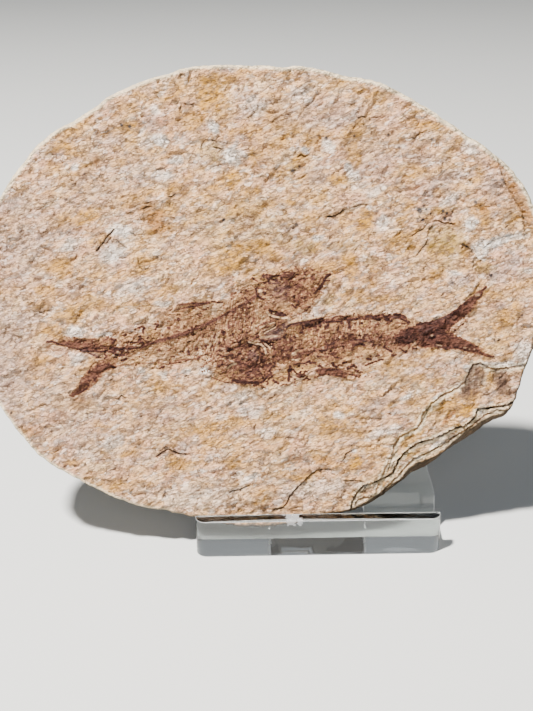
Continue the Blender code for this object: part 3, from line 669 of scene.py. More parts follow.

# Marks drawn on the fish: kind, strength, width and the line of each. A pale mark is pale rock, and
# along a ridge a painted highlight; a hollow mark is dark bone with painted shade in the hollow.
LEFT_MARKS = """
dark .62 1.1  -42,56.2 -34.6,57.8 -27,59.9 -20.9,61.9 -14.2,64.6 -9,67.3 -3.9,70.1 0.4,72.8
dark .90 .40  1.4,78.2 2.6,78.5 4,78.3
dark .90 .40  7.4,79 8.6,79.2 9.8,78.9 10.9,79
dark .70 .70  1.6,77.8 4.6,78 7.4,78.3 10.4,78.4
dark .90 .55  2.6,77.4 3.2,76.9 2.9,76.4 3.4,75.9
dark .85 .55  3.4,77.3 4.4,76.8 5.4,77 5.6,76.5
dark .80 .40  3,75.9 5.2,75.9 5.9,76
dark .85 .60  6.8,77.9 6.9,77.1 7.3,76.9
dark .60 .30  0.6,77 0.9,77.8 1.6,78.1
dark .60 .40  10.3,78 9.7,76.6 9.3,75.6 9.1,74.4
dark .50 .35  6,75.2 7.3,75.1
rust .55 .40  17.2,79.2 18.2,78.8 19.4,79 20.6,79.6
dark .65 .45  15.8,80 16.4,79.6
dark .60 .35  13.4,79.4 14,78.9 13.6,78.5
rust .50 .30  15,79 15.6,79.4
dark .60 .35  13.4,76.4 14.4,77.1 15.8,77.4 16.8,77.2
pale .50 .30  13.8,77.6 15.4,78
dark .90 .80  21.4,78.3 20.4,77.9 19.9,77 19.6,76.2 18.9,74.9 17.9,73.9
dark .75 .60  17.9,73.9 17.1,73 16.6,72.8
dark .60 .35  19.2,77.6 18.6,76.9 18.2,76
dark .75 .35  20.3,76.4 21.3,76.5
dark .65 .45  16,73.9 16.8,73.7
dark .70 .45  14.8,72.6 15.6,72.4 15.7,72.1
dark .95 .70  11.8,70.5
dark .75 .55  11.9,71.4
dark .75 .50  9.9,71.8 10.6,72.1
dark .90 .50  10,69.4 10.5,68.8 11,68.5
dark .60 .35  12,69.9 13.6,70.2 14.6,70.6
dark .50 .30  14,71.6 14.8,71.9
dark .50 .40  12.6,68.2 14,68.6 15.4,69
rust .45 .35  11.2,66.2 13.4,67.1 15.3,68.6
rust .40 .30  10.6,66.1 12.6,66.7 13.8,67.4
rust .50 .30  16,70.4 17.4,71.8 18.6,73.2
dark .85 .45  -0.9,74.2 -0.5,74.6 0.2,74.3 1.3,74.2
dark .95 .55  -0.7,74 -0.7,72.8 -0.2,72 0.6,71.4 1.6,71.2
dark .90 .70  1.3,73.3 1.9,73.1 1.8,72.6
dark .65 .30  2,74.2 2.9,74.1
pale .70 1  0.5,73.6
pale .50 .60  0.7,72.6
dark .55 .35  0,76 0.1,75.3
pale .40 .70  0.8,75.6
hollow 1 .70  3.1,67.8 4.2,67.2 5.6,67 6.8,66.8 7.9,66.2
hollow .90 .90  4,66.8 5.2,66.5 6.8,66.3 7.6,66.1
pale 1 .42  2.5,67.2 3.2,66.4 4.4,65.9 5.6,65.6 6.8,65.4 8.2,65.5
dark .85 .32  3.1,65.9 4.6,65.3 5.8,64.9
pale 1 .80  8.7,65.2 9,65
dark .60 .40  2.3,66.6 2.6,66
grey .80 2.4  3.4,60.6 6.4,61.2
grey .70 1.6  2.4,59.9 5.6,60
grey .60 1.4  7.2,62.6 8.8,64.4
dark .75 .34  1.4,62.9 2.8,63.6 4.6,64.6
dark .80 .34  1.8,61.3 3.6,62.1 5,63.3
dark .75 .34  1.4,60.4 3,61.4 4.6,62.3 5.6,62.9
dark .70 .30  0.2,63.3 2.2,64 4.2,64.9
dark .60 .30  5.6,63.9 6.8,64.4 7.6,64.7
pale .60 .26  0.4,62.6 2.4,63.4 4.6,64.1
pale .60 .26  1.4,61.8 3,62.3 4.4,63.1
pale .60 .26  1.5,60.8 3.2,61.7 4.8,62.5
pale .50 .45  0.6,59.5 2.8,59.8 5.2,59.9
dark .60 .45  7.9,62.8 8.3,62.2
dark .60 .40  6.6,63.4 7.4,63 7.2,62.4
dark .40 .35  -0.2,72 -2.2,71.6
dark .70 .50  -2.6,70.2 -3.4,70.9 -4.2,71.8
dark .60 .80  -3,70.4 -4.6,69.6 -6.2,68.9 -7,68.6
dark .55 .70  -7,67.4 -8.2,67.5 -9.4,67.2 -10.6,66.5 -12,65.8 -12.8,65.3
dark .75 .65  -12.6,65.3 -13.6,64.8 -14.8,64.6 -15.4,64 -15.9,63.6
dark .60 .35  -15.2,63.6 -14,63.6
dark .65 .50  -16,63 -16.2,62.2
dark .80 .36  -18.6,62.5 -20,62.4 -21.4,62.2
dark .85 .70  -20.4,62.8 -20,62.2
dark .65 .50  -20,61.5 -21.4,61.2 -22.2,61.2
dark .60 .40  -22,60.4 -21.8,60.9
dark .75 .60  -21.6,60.9 -24,60.6 -25.2,60.2 -26.4,59.9 -27.6,60.1 -28.6,59.5 -30,59.5
dark .60 .40  -24,61.4 -25.2,60.9 -26,60.7
dark .60 .60  -24.4,59.6
dark .45 .60  -28.4,58.8 -31,58.9 -32.6,58.8 -34.2,58.7
dark .70 .80  -15,70.4 -16.5,70.2 -17.4,70 -18.6,70 -20,70.3
rust .70 .55  -20,70.3 -22.4,70 -24.5,69.9 -26.4,69.7
dark .75 .55  -18,69.5 -20.2,69.3 -21.8,69
rust .65 .50  -21.8,69 -23.6,68.6 -25,68.5
dark .50 .35  -18.8,68.5 -20.2,68.7
grey .55 .50  -15.2,71.1 -16.6,71 -18.4,70.8
dark .75 .34  -11,70.5 -12.2,70.3 -13.6,70.6 -14.2,70.7
dark .65 .40  -15.8,68.3 -16.6,68.1 -17.2,68.4
dark .60 .40  -17.2,66.3 -18.6,66.7
rust .60 .50  -8.4,74.2 -9.2,74.2 -10,73.8 -10.4,73.1
rust .55 .70  -7,73.2 -8,72.9 -8.2,72.3 -7.6,71.8
dark .65 .45  -2.3,77.2 -1.8,77.7 -1.3,77.2 -0.4,76.6
rust .40 .30  -4.2,74.8 -5,74.6
rust .40 .28  -1.2,74.9 -3.6,74.2 -6,74
rust .40 .28  -1.2,72.8 -3.6,72.8 -6,73
dark .65 .55  -23.8,66.8
dark .90 .80  -24.3,65.6
dark .60 .35  -23.6,65.3 -25.6,65.2
dark .75 .60  -27.7,62.9 -27,62.8
dark .60 .50  -22.6,63.4
dark .40 .50  -28.2,66.9
dark .90 .90  -10.8,60.8 -10.4,61.3
dark .75 .60  -8.9,57.2 -8.9,57.7
dark .85 .80  -21.4,54.9 -21.5,55.7
dark .90 .32  -21.8,58.5 -20.6,58.9
dark .90 .55  -18.9,53.4 -18.2,53.8
dark .65 .36  -26.8,56.6 -27.6,56
dark .55 .50  -25.4,56
dark .70 .40  -26.8,54.1 -25.9,54
dark .75 .70  -16.2,56.8 -16.3,57.4
dark .55 .50  -13.9,57
rust .50 .45  -14.6,58.2 -14.8,59.6
dark .50 .40  -8,63.4
dark .65 .50  -1.8,65.6
dark .55 .50  -3.8,61.8 -4,60.9
dark .55 .50  -6.4,60.8 -5.8,60.2
dark .65 .42  -7.2,59.6 -6.9,58.9 -6,58.7 -5,59.4 -5,60.2
dark .50 .60  -11,58.6
dark .55 .50  -12.1,59.3
dark .50 .50  -12.1,58
dark .75 .60  -12.8,55.6 -11.8,56
dark .65 .42  -12,57 -11.2,56.8 -10.4,56.6
rust .40 .35  -20.2,57 -20.4,55.8
rust .40 .35  -17.6,57.6 -17.8,56.4
rust .55 .32  -14.6,54.9 -16.2,54.6 -17.4,54.3 -18.6,54 -20.2,54.3
rust .55 .45  -19,53.3 -21,53.1 -24,53 -25.6,52.7
dark .70 .40  -24,52.4 -25.6,52.1 -27,52
rust .45 .30  -28,51.7 -31,52.4 -38,52.1 -43.6,51.6
dark .75 .60  -29.8,51 -29.1,51.1
dark .80 .55  -64.4,59.3 -62.6,59.3 -61.2,58.8
dark .75 .65  -61.2,58.7 -59.6,58.3 -58.2,58.4 -56.2,58.5
dark .75 .70  -56.2,58.5 -54.6,58.9 -54.2,58.4
rust .60 .36  -54.4,58.7 -53.6,59.3 -51.8,59.6 -49.6,59.8
rust .45 1.4  -57,58.2 -53,58.2 -49,58.6
dark .75 .36  -57.6,57.6 -55.6,57.2 -53.4,56.8 -50.4,57 -48.2,57.2 -46.2,57
dark .90 .50  -55,56.6 -52,56.2 -49.6,56.2 -48,56 -46.4,56.2 -44.4,55.9
grey .70 .90  -53.6,56.2 -51,55.4 -48.9,54.9
dark .60 .50  -51.6,55.4 -49.6,54.8 -48.2,54.2
dark .60 .34  -50.6,57.4 -48.4,57.6
dark .60 .40  -48,58 -46.4,57.5
dark .80 .45  -47,55.1 -46.3,54.6 -46.9,53.9
dark .60 .40  -47.2,53.2 -47.6,52.6
dark 1 .90  -45,56.8 -43.6,56.9 -42.2,56.7 -41,56.9 -40,56.4
dark .90 .55  -40,56.4 -39.4,56.9
dark .90 .55  -44.6,55.9 -43.4,55 -42.4,54.6 -41,54.9
dark .80 .45  -43.6,55.9 -42.2,55 -41.4,56
pale .50 .60  -42.8,55.6
pale .60 .45  -40.5,56.2
dark .70 .50  -39.6,57.4 -38.4,57.3 -37.4,57.6 -36.6,57.2 -35.2,57.2 -34.4,57.6
pale .45 .45  -38,57.9 -36,57.7
dark .85 .42  -39.4,58.9 -37.8,58.6 -36.4,58.8 -35.2,58.6
dark .65 .45  -36.4,59.4 -35.4,58.8
dark .65 .45  -36,60.2 -35,59.6 -34.4,59 -33.4,58.9
dark .45 .35  -38,59.6 -37.8,60.8 -36.8,61.2
dark .75 .36  -47,59.4 -46,59.8 -45.6,60.3
dark .85 .60  -44.6,59.6 -43.4,59.5
dark .55 .36  -44.2,61.1 -43,61.2
dark .90 .48  -36.6,63 -35.4,63.4 -34.7,63 -35.1,62.3 -35,61.5
dark .80 .48  -31.4,64.2 -30.4,64 -31,63.2 -31.4,62.4
dark .50 .40  -30.5,65
dark .90 .60  -41.8,53.2 -40.8,53.4 -40.4,53.7
dark .90 .85  -44,51.2 -45.4,51.8 -46.6,51.5 -47.4,50.8 -48.2,51
dark .75 .60  -45.6,52.4 -47.2,52 -48.6,51.6 -49.6,50.9
rust .75 1.7  -46,51.2 -48.4,50.4 -50.6,49.2
rust .60 1.5  -50.6,49.2 -52.6,47.6 -53.6,46.2
rust .55 1.3  -53.6,46.2 -55.2,44.4 -57,43
dark .95 .65  -52.8,44.7 -53.8,44.2 -54.8,43.6 -56.2,43.2 -57,43
dark .75 .60  -52.4,46.2 -53.4,45.6
dark .60 .36  -58,42.9 -57,42.4 -56.6,42.5
grey .35 1.2  -54.6,47.6 -55,46
"""
RIGHT_MARKS = """
dark .50 1.2  5,53.4 12.1,54.3 18.2,55.6 26.6,57.5 34,58.4 41.7,59
dark .52 1.2  9.4,63.2 14,63.9 19,64.4 26,64.7 33,65.1 40,65.2 44,64.6
pale .90 .34  -3.2,58.3 -1.8,57.8 -0.4,57.6 0.6,57.3 1.3,56.5 1.8,55.4 1.9,54.6
dark 1 .50  -3.8,58 -2.4,57.4 -1,57.2 0.4,56.9
dark .50 1.2  -5,57 -3.2,56.6
hollow .95 .70  1.7,58 2.7,57.5 3.4,56.9 3.9,56.2
dark .90 .45  1,57.6 1.8,57 2.2,56.5
pale .60 .30  1.6,57.6 2.6,56.8 3.2,56
dark .55 .60  4,56.8 4.5,55.8 4.3,55
dark .75 .60  0.3,55 0.8,54.6 1.4,54.4 2,54.6
dark .55 .45  0.9,56.2 1.2,55.4
rust .75 .50  -2,56.6 -1.2,56.2 -0.6,56
dark .90 .42  0.2,52.8 0.8,52.7 1.5,52.6
dark .85 .42  -3.5,53.7 -3,53 -2.5,52.5
dark .60 .36  -4.3,53.2 -3.6,52.8
dark .65 .42  -2.1,52 -1.6,51.3
dark .90 .42  -6.1,51.5 -5.2,51.8 -4.4,51.6 -3.4,51.1
dark .75 .32  -6,51.4 -7.4,51.1 -8.4,50.3 -9.6,49.3
pale .80 .42  -9.8,50.3 -8.6,51.3 -7.2,51.7
dark .80 .36  -9.9,50.6 -9.3,51.2 -8.6,51.7
dark .80 .36  -7.7,52.4 -6.6,52.2 -5.9,52.3
pale .60 .30  -9,52.8 -7.8,52.2
dark .80 .45  -12.7,54.7 -11.4,54.2 -10.8,54 -9,54.3 -8.2,54.5
dark .95 .60  -8.9,54.5 -8.2,54.5
dark .75 .45  -7.3,53.9 -6.5,53.8
dark .70 .40  -13.4,55.2 -12.8,55.7 -12,56.1 -11.2,55.7
dark .95 .42  -10.1,56.1 -9,56 -8.1,56.1
dark .65 .55  -8.2,56.1 -7,56.4 -5.6,56.7 -4.4,57.5 -3.6,58
dark .70 .42  -11.5,57.2 -10.8,56.8
dark .75 .45  -2.8,58.6 -2,59 -1,59.4 -0.4,60.1
dark .85 .70  -0.8,60 -0.3,60.1
dark .95 .70  0.1,58.9 0.8,58.7 1.6,58.4 2.2,58.3
dark .95 .42  2.2,58.6 3.4,58.9 5,59.3
dark .75 .45  -0.9,58.5 0,58 0.9,58.2
pale .55 .28  -2.2,58.7 -1,58.4 -0.2,58.3
dark 1 .85  -8.2,46.5 -7.2,46.2 -6.4,46 -4.8,45.8 -3.4,45.8 -2,45.8 -1,45.8
dark .75 .50  -7.8,46.7 -6,46.6 -4.4,46.5
dark .75 .45  -1.7,44.8 -1,45 -0.6,45.4
dark .90 .60  0.2,45.7 0.8,46 1.4,46.5 1.8,47.2 2.6,47.9 3.4,48.5 2.9,49.2
dark .75 .60  3,49.5 3.4,50.2 4.2,50.5 4.6,51.4 4.4,52
dark .80 .50  -1,49.6 -0.2,49.1 0.4,48.4 0.8,47.6 1,46.8
dark .60 .40  -1.6,48.7 -0.8,48.4 -0.2,47.6
dark .65 .42  -3,46.9 -2.2,47.4 -1.2,47.6
dark .75 .42  -4.3,47.5 -3.2,47.3
dark .85 .40  -2.9,49.4 -2.2,49.8 -1.4,49.7 -0.5,49.8
dark .60 .40  -3.3,50.1 -2.8,51
dark .55 .40  -6.2,50 -6.1,49.1
dark .50 .40  -6.2,48.5 -4.8,49.2
dark .65 .34  -11.5,48.9 -10.7,49.4
dark .55 .34  -6.7,47.3 -6,47.8
dark .50 .40  -9.4,47.2 -8.2,47.6
grey .55 1  -16.2,50.7 -15.2,50.5 -14.6,49.8
rust .50 .45  -18,50.7 -17,51.3 -15.6,52.2 -14,53.2 -12.8,54.5
rust .45 .40  -13.4,52.3 -11.8,52.5 -9.8,52.8
rust .50 .40  -14.8,47.6 -13.2,46.8 -11,46 -8.6,45.8
grey .60 2.2  -2.2,54.4 -1.2,53.8
dark 1 .50  8.1,62.6 9.4,63.3 10.4,63.6 11.6,63.9 13,64 14.4,64.1 16,64.5 17.4,64.8 19.2,65.1
pale .60 .40  9,63.9 11.6,64.6 13.6,64.9 16,65.3 18.6,65.9
dark .60 .60  8.2,62.2 8.4,62.8
dark .90 .80  13.1,61.8 13.2,62.8
dark 1 1.5  14.2,63.2 14.6,63.4
dark .95 1  15.8,62.9 15.9,63.3
dark .85 .90  17,62.2 17,63.4
dark .90 1.1  18.3,62.9 18.3,63.8
dark .75 .80  19.4,63.7
dark .70 .80  20,61.8 20,62.7
dark .80 .80  20.7,62.4 20.8,63.2
dark .95 .60  20.2,63.9 22,64 24,64
dark .95 .70  12.3,60.9 13,61
rust .65 .70  14.4,61.7 15.6,61.8
rust .50 .60  16.6,60.4 16.6,61.8
dark .80 .90  24.8,63.4 24.8,64.1
dark .80 .80  26.6,63.9
dark .90 .80  27.1,62.2 27.1,63.7
dark .70 .42  21.6,64.7 23,65.4 24.6,65.7 26,65.3 27.4,65.6
dark .90 .70  26,64.4 28.2,64.6 29.6,64.7
rust .45 .30  19.4,65.3 20.8,65.6 23,66.1
dark .90 .80  9.5,58.4 9.6,58.8
dark .50 .50  10.4,59.2
rust .65 .80  6,58.6 6,57.2 6,56
rust .65 .70  7.9,58.6 8,57.2 8,56.2
rust .55 .70  9.4,56.6 9.2,55.4
dark .80 .45  5.2,58.9 7,59.5 8.1,60.3
dark .65 .70  23.7,61.2
dark .65 .80  23.7,58.2 23.7,58.7
dark .90 .55  22.3,57.2 21.4,57 20.6,56.8 20.5,56 20.2,55.4 19.2,55.2 18.2,55.4
dark .95 .90  21.9,57.3 22.5,57.5
pale .40 .60  19.2,56.1
dark .70 .70  16.3,55.3 16.6,56
dark .70 .60  15.4,54.7
dark .80 .42  20.8,54.2 21.8,54.1 22.6,53.4 23.6,53 24.6,52.9
dark .60 .36  18,53.5 19.8,53.3 20.6,53.6
dark .42 1.3  4.2,53 5.6,52.9 7.2,53.3 9,53.2 11,53.2 12.6,54 14.6,54.8 16.2,55.2
dark .75 .36  10,53.1 11.2,53 11.6,53.4
pale .70 .40  10,54.5 11.8,55.4
pale .60 .40  9.8,54 11,54.4
pale .55 .45  9.8,52.6 11,52.4 12,52.7
dark .95 .65  14.2,51.7 15,52.2 15.3,51.5
dark .75 .42  14.2,51 13.4,51.4 11.4,51.4 10.2,51
dark .65 .40  16.2,51.7 17,51.5
dark .90 .55  18,50.8 18.7,50.2
dark .60 .60  20.4,51
dark 1 .70  22,51.4 22.4,50.6 23.2,50.2
dark .85 .60  25.2,51.4 26.2,51.6
dark 1 .60  27.6,50.2 28.4,50.6 29,50.1
dark .65 .40  26.3,49.8 27.6,49.7
dark .80 1.1  17.6,49 19.4,49.3 21.4,49.4 23.4,49.1 24.6,48.7
dark .65 1  18.4,47.9 20,48.2 22,48 24,47.6 25.6,47.2
rust .60 1.2  18,48.6 22,48.6 26,47.8
dark .55 .50  16.6,47.2 18.6,47.5
dark .60 .36  24.2,48.5 26,48.2 28.2,47.9 30.4,47.4
dark .60 .36  28,49.6 29.6,48.6 31,48.4
dark .60 .36  27,47.9 28.8,47.4 30,47
rust .55 .50  25,49.2 26.2,48.8 28,48.6
dark .95 .60  9.2,50.5 8.9,49.6 8.8,48.6 8.7,47.2 8.6,46.2
dark 1 1.1  8.8,49.2 9.4,49.6
dark .90 .42  9.4,49.8 10.2,49.4 10.8,48.6 11.6,48 12.8,48 13.4,48.3 13.5,48.8
dark .80 .42  11,47.6 11.8,47.3 13,47.3 13.6,47.7
dark .65 .42  13.2,46.3 14,46.7 14.3,47.3
pale .50 1.1  10.2,47.7
dark .60 .60  11.8,50.6
dark .60 .50  12.9,49.9
dark .90 .55  4,46.4 4.6,45.8 5.5,45.4
rust .50 .40  5.2,46.8 6.6,47.6 7.4,47
dark .50 .36  6,44.7 7,45.1 8.4,44.9
dark .65 .60  4.9,54.9 4.6,54 3.9,53.4
dark .65 .70  5.6,52.8
dark .80 .50  4,51.8 4.7,51.8
dark .95 .80  32.2,65.4 33.4,65.5 34.4,65.2 35.2,65.3
dark .90 .75  34,64.9 35.2,64.6 36.4,64.4
dark .80 .50  36.2,65.6 37.2,65.8 37.4,66
dark .95 .60  37.6,65.3 38.6,65.2 39.2,65.8
dark 1 1  38.2,64.6 38.9,64.6
dark .90 .42  38,64 40,64
dark .95 .75  40.8,65.9 42,65.8 43,65.5 44,64.9
dark .80 .60  41.6,65.4 42.4,65 42.8,64.4 44,64 45.2,63.5 44.8,63.1
dark .65 .40  41.4,63.4 42.8,63.2 43.8,63
dark .60 .40  39.8,64.3 40.2,65.6
grey .50 .80  40.4,65 41.6,64.8
dark .55 .80  30.2,65.4
dark .85 .60  28.4,64.5 29.4,64.7
dark .65 .42  31.4,64.6 33,64.4
dark .95 .65  31,63.4
dark .60 .36  28.4,63.6 28.8,62.9
rust .80 .48  35.8,63.4 35.2,62.8 34.8,62.2 34.7,61.4 35.2,60.6 35.8,59.9
dark .60 .36  30.3,62.1 31,61.5 31.2,60.8
dark .75 .50  28.2,61.4 28.9,61.4
dark .80 .60  26.6,60.3 27.6,60.3 28.3,60.1
rust .85 1.3  27.2,59.5 28.2,59.1
dark .65 .90  27.8,59 28.3,59.5
dark .95 .60  27.6,58.2 28.6,58.4 29.6,58.3 31.2,58.4
dark .85 .42  31.2,59.2 31.8,59.9 32.6,60.2
dark .85 .42  32.8,59.8 33.2,58.8 33.6,57.9 34,57.5
rust .60 1  32.4,59.5
dark .85 .90  28.2,56.8 29.4,57 30.4,57.4
dark .85 .80  30.4,57.4 31,57 31.6,56.7
dark .80 .36  27.6,56 28.3,56.1
grey .60 1  31.6,57.7 33.2,57.2
dark .70 .42  34.4,56.8 34.8,56.7 36,56.8 36.5,56.8
dark .50 .60  36.2,57.8 36.8,57.2
dark .70 .50  37.6,58.1
dark .75 .60  38.6,59.2
dark .45 .40  38.4,60.8 38.6,61.4
dark .75 .50  25,57.3 25.3,56.2 25.4,55.8
dark .60 .60  24.2,57.6
dark .85 .48  37.4,56.1 38.2,55.6 39.2,55 39.9,54.5
dark .90 .60  39.8,54.9
dark .80 .48  40,53.4 40.8,53.5 41.2,53.7
dark .85 .80  32.7,52.4 33.5,52.3
dark .75 .60  33.6,53.3
dark .75 .36  35.2,53.2 36.2,53.6
dark .75 .42  36,52 36.6,52.2 37.2,52.2
dark .80 .42  32,50.5 32.8,50.9 34,51.2 35.2,51.7
dark .80 2.4  42.6,58.4 44.2,59.4 45.8,59.4
dark .74 2  43.4,57.4 45,58 46,58.6
dark .72 1.5  43.6,60.8 45,60.8 46.6,61
dark .80 1.2  41.4,58.2 42.6,57.2
dark .70 .50  41.2,57.6 40.4,57.5 39.6,58
dark .70 .50  40.2,58.5 41.2,58.9 42.2,59.3
dark .80 .45  42.2,55.7 43,55.2 43.6,54.6 44.5,54.8
rust .60 .90  42,56.4 43.4,56.6
dark .95 .42  46.2,55.6 47.4,55.5
pale .30 .50  46.7,57.8 47,56.8
dark 1 .80  47.6,62.7 48.8,63.1 50.4,63.3 51.6,63.2
dark .85 .80  50.4,63.7 52.6,63.8 54.4,64.1 56.4,65 57.8,65.9 59.2,66.6
dark .95 .60  58.4,66.4 59.8,67.1
dark .66 1.4  50,62.4 53,62.8 56,63.6 58,64.6
dark .64 1.3  57,64.4 59.4,65.6 61,67
rust .90 1.9  58.6,63.8 60.6,65.4 62.2,67
rust .85 1.7  61.6,66.8 63.2,68.6 64.4,70
rust .70 1.2  64.2,69.8 65.4,71 66.4,72
dark .90 .70  60.3,68.5 61.6,68.6 62.4,69.2 63.4,70.2 64.6,71.2
dark .95 .55  64.4,70.8 65.4,70.6 66.4,71.2 66.9,71.9
pale .45 .60  65.3,71.4 66,71.5
dark .75 .50  66,72.3 67.2,72.8 68.3,73.8
dark .80 .80  52.2,62.6 54.4,63.1 56.6,63 58.4,63.2
dark .70 .40  56.6,61.9 58,62.2 58.8,62.8
dark .55 .50  59,65.2 60.4,65
dark .65 .50  61.6,64.8 62.4,65.8 63.2,66.9 63.8,67.7
dark .74 1.4  47.8,60.8 49.6,61.2 51.4,61.2
dark .68 2.2  48.8,59.8 51,60 53,60.6
dark .66 1.6  52.6,61.4 54.6,61.2 55.6,60.8
dark .72 1.8  48.8,58.2 51,58.2 53.4,57.6 55.6,57.4
dark .68 1.4  54,58.6 56,58.2 58.2,57.8
rust .85 1.8  56,57.6 59,57.2 62,56.4
rust .80 1.2  61.6,56 64,55.4 66.2,54.6
dark .70 1  49.4,56.6 50.8,56.4
pale .40 .55  52,59.3
dark 1 .50  52.8,56.7 54.2,56 56,55.8 57.6,55.8
pale .40 .26  53.4,56.6 55,56.2
dark .95 .50  58.6,55.6 60.2,55.4 61.4,55.1
dark .80 .65  62,55 63.6,55.1 65.2,54.8 66.4,54.2
pale .45 .36  61.8,55.5 62.2,55.5
pale .45 .32  63.4,55
pale .40 .30  64.9,54.9
dark .85 .42  56.8,59.2 57.7,59.2
dark .70 .80  56.2,58.6 58.4,58.5 60.4,57.9 62.6,56.9 64.4,55.9
rust .75 .60  66.4,54.2 68.2,53.4 69.6,52.8 71,52.5
grey .50 .26  48,61.3 49.8,62.1
grey .50 .26  50.2,60.8 52.4,62
grey .50 .26  51.8,63 54.6,64 57.4,65.6
"""
# The lobes of the two tails: how brown each is, the way its rays run and its outline.
FINS = """
0.5 42  47.2,62.4 50.4,63.6 53.8,64.3 56.5,65.5 59.2,67.2 61.2,69.2 63.2,70.8 65.2,72.1 68.1,73.8
  66.9,70.9 65.1,69.1 63.6,67.2 61.9,65 59.5,63.3 57.2,61.6 55.6,60.2 52,58 47,59
0.54 -20  46.9,60.5 55.6,60.2 57.8,59.1 60.5,57.9 63.2,56.3 65.9,54.8 67.9,53.3 70.1,52.5
  67.3,52.9 63.9,53.9 60.9,54.8 57.8,55.3 54.8,55.3 52.8,55.8 49.7,55.5 47.5,56.5
0.31 -8  -63.7,59.8 -60.2,59.6 -55.9,59.2 -53.8,59.8 -50.3,60.3 -46,60.5 -43,59.4 -43,56.6
  -47.3,56.6 -49.9,55.5 -52.9,56.4 -55.9,57.4 -59.4,58.3
0.29 50  -46,55.6 -42.6,54 -43.8,51.3 -47.3,49.5 -50.3,47.4 -52,44.7 -54.6,43 -56.8,42.8
  -54.6,45.2 -53.4,47.8 -51.1,50 -49,52.2 -47.3,53.9
"""
FIN_EDGE = 0.35  # over which a fin fades

# Soft areas on the fish: kind, strength, half length, half width, angle and middle.
# The angle of flecks and of rays is the way that their small marks are drawn out.
LEFT_AREAS = """
shade .47 9.8 6.6 20 11 74
shade .30 5 4 0 2 74
shade .40 8 5 25 -6 66
shade .36 16 6 20 -22 61
shade .32 10 3.6 16 -22 66.4
ray .58 9 6 78 -5 65.5
ray .50 9 6 70 -16 58.5
ray .34 8 4 60 -28 57
ray .46 9 3.4 28 -22 66.5
tan .50 12 4 10 -26 57
tan .40 9 3.6 20 -22 65.5
shade .30 9 4 10 -38 57
shade .42 8 3.5 25 -6 58.5
shade .50 5 3 15 4 62
shade .60 7.5 2.2 -10 -54 58
shade .60 7 2.6 48 -51 48.6
fleck .90 8 6 10 12 77
fleck .70 6 6 40 14 71
fleck .60 7 7 10 4 74
fleck .60 7 7 85 -4 65
fleck .80 9 9 78 -10 58
fleck .66 9 9 75 -20 58
fleck .60 9 9 60 -30 57
fleck .58 8 8 20 -20 67
fleck .70 7 7 20 -38 58
fleck .80 6 6 10 -44 57
fleck .70 6 6 -8 -54 58
fleck .70 6 6 48 -51 49
fleck .75 6 6 25 3 62
grey .55 3.4 2.4 0 5.8 74
grey .45 3 1.8 0 6.6 70.6
shade .42 6.5 3.4 -25 5 67.6
shade .34 5 3.6 30 -3.6 71.6
fleck .55 6 6 -20 5 67
fleck .60 6 6 30 -4 71.5
tan .70 3.6 2.2 0 7 69
tan .60 2.4 2 0 15 75.2
tan .65 8 2 8 -35 53.8
tan .45 4 2 20 -14 67
"""
RIGHT_AREAS = """
shade .58 10 6.2 0 -4 51
ray .46 9 5 82 14 60
ray .44 9 5 75 28 61
ray .40 8 5 66 39 59
ray .44 8 5 24 -8 54
shade .50 8 6 0 10 56
shade .46 9 7 0 24 57
shade .45 9 6 10 38 59
shade .85 4 3.4 0 45 59.2
shade .90 6 3.4 0 52 60.4
shade .80 7 2 36 60 66
shade .80 8 2 -18 60 57
fleck .90 9 9 20 0 49
fleck .85 8 8 25 -8 53
fleck .85 7 7 85 8 57
fleck .80 8 8 80 18 60
fleck .75 8 8 70 28 61
fleck .70 8 8 20 14 51
fleck .66 8 8 10 27 53
fleck .80 8 8 60 38 59
fleck .90 6 6 20 45 58
fleck .90 9 9 30 57 64
fleck .90 9 9 -12 58 57
fleck .80 6 6 60 2 58
tan .70 8 2.4 8 30 53.8
tan .65 3.6 2.4 0 39 61.8
tan .50 4 2.2 0 14 58.6
tan .45 3 1.8 0 -8 49.2
"""

# ------------------------------------------------------------ plane geometry


def in_plane(points):
    return [Vector(point) for point in points]


def rounded_line(points, spacing, closed=True):
    """A smooth line through the points, as Bezier spans with Catmull-Rom handles."""
    count = len(points)
    spans = count if closed else count - 1
    out = []
    for k in range(spans):
        start, end = points[k], points[(k + 1) % count]
        before = points[k - 1] if closed or k else start
        after = points[(k + 2) % count] if closed or k + 2 < count else end
        first = start + (end - before) / 6
        second = end - (after - start) / 6
        steps = max(1, round((end - start).length / spacing))
        span = interpolate_bezier(start.to_3d(), first.to_3d(), second.to_3d(), end.to_3d(), steps + 1)
        out += [point.to_2d() for point in span[:-1]]
    return np.array(out if closed else out + [points[-1]])


def spaced(line, spacing, closed=False):
    """Points about this far apart along straight pieces, with every corner kept."""
    line = np.asarray(line, float)
    ends = np.roll(line, -1, axis=0) if closed else line[1:]
    parts = []
    for start, end in zip(line, ends):
        count = max(1, round(float(np.linalg.norm(end - start)) / spacing))
        parts.append(start + (end - start) * (np.arange(count) / count)[:, None])
    if not closed:
        parts.append(line[-1:])
    return np.concatenate(parts)


def left_normals(line):
    """Unit normals to the left of a closed line: outward from one that runs clockwise."""
    along = np.roll(line, -1, axis=0) - np.roll(line, 1, axis=0)
    along /= np.linalg.norm(along, axis=1, keepdims=True)
    return np.stack([-along[:, 1], along[:, 0]], axis=1)


def inside(points, outline):
    """Whether each point lies within a closed outline, by counting crossings."""
    order = np.argsort(points[:, 1], kind="stable")
    x, z = points[order, 0], points[order, 1]
    odd = np.zeros(len(points), bool)
    ends = np.roll(outline, -1, axis=0)
    first = np.searchsorted(z, np.minimum(outline[:, 1], ends[:, 1]))
    last = np.searchsorted(z, np.maximum(outline[:, 1], ends[:, 1]))
    for (ax, az), (bx, bz), low, high in zip(outline, ends, first, last):
        if high > low:
            odd[low:high] ^= x[low:high] < ax + (z[low:high] - az) * (bx - ax) / (bz - az)
    crossed = np.zeros(len(points), bool)
    crossed[order] = odd
    return crossed


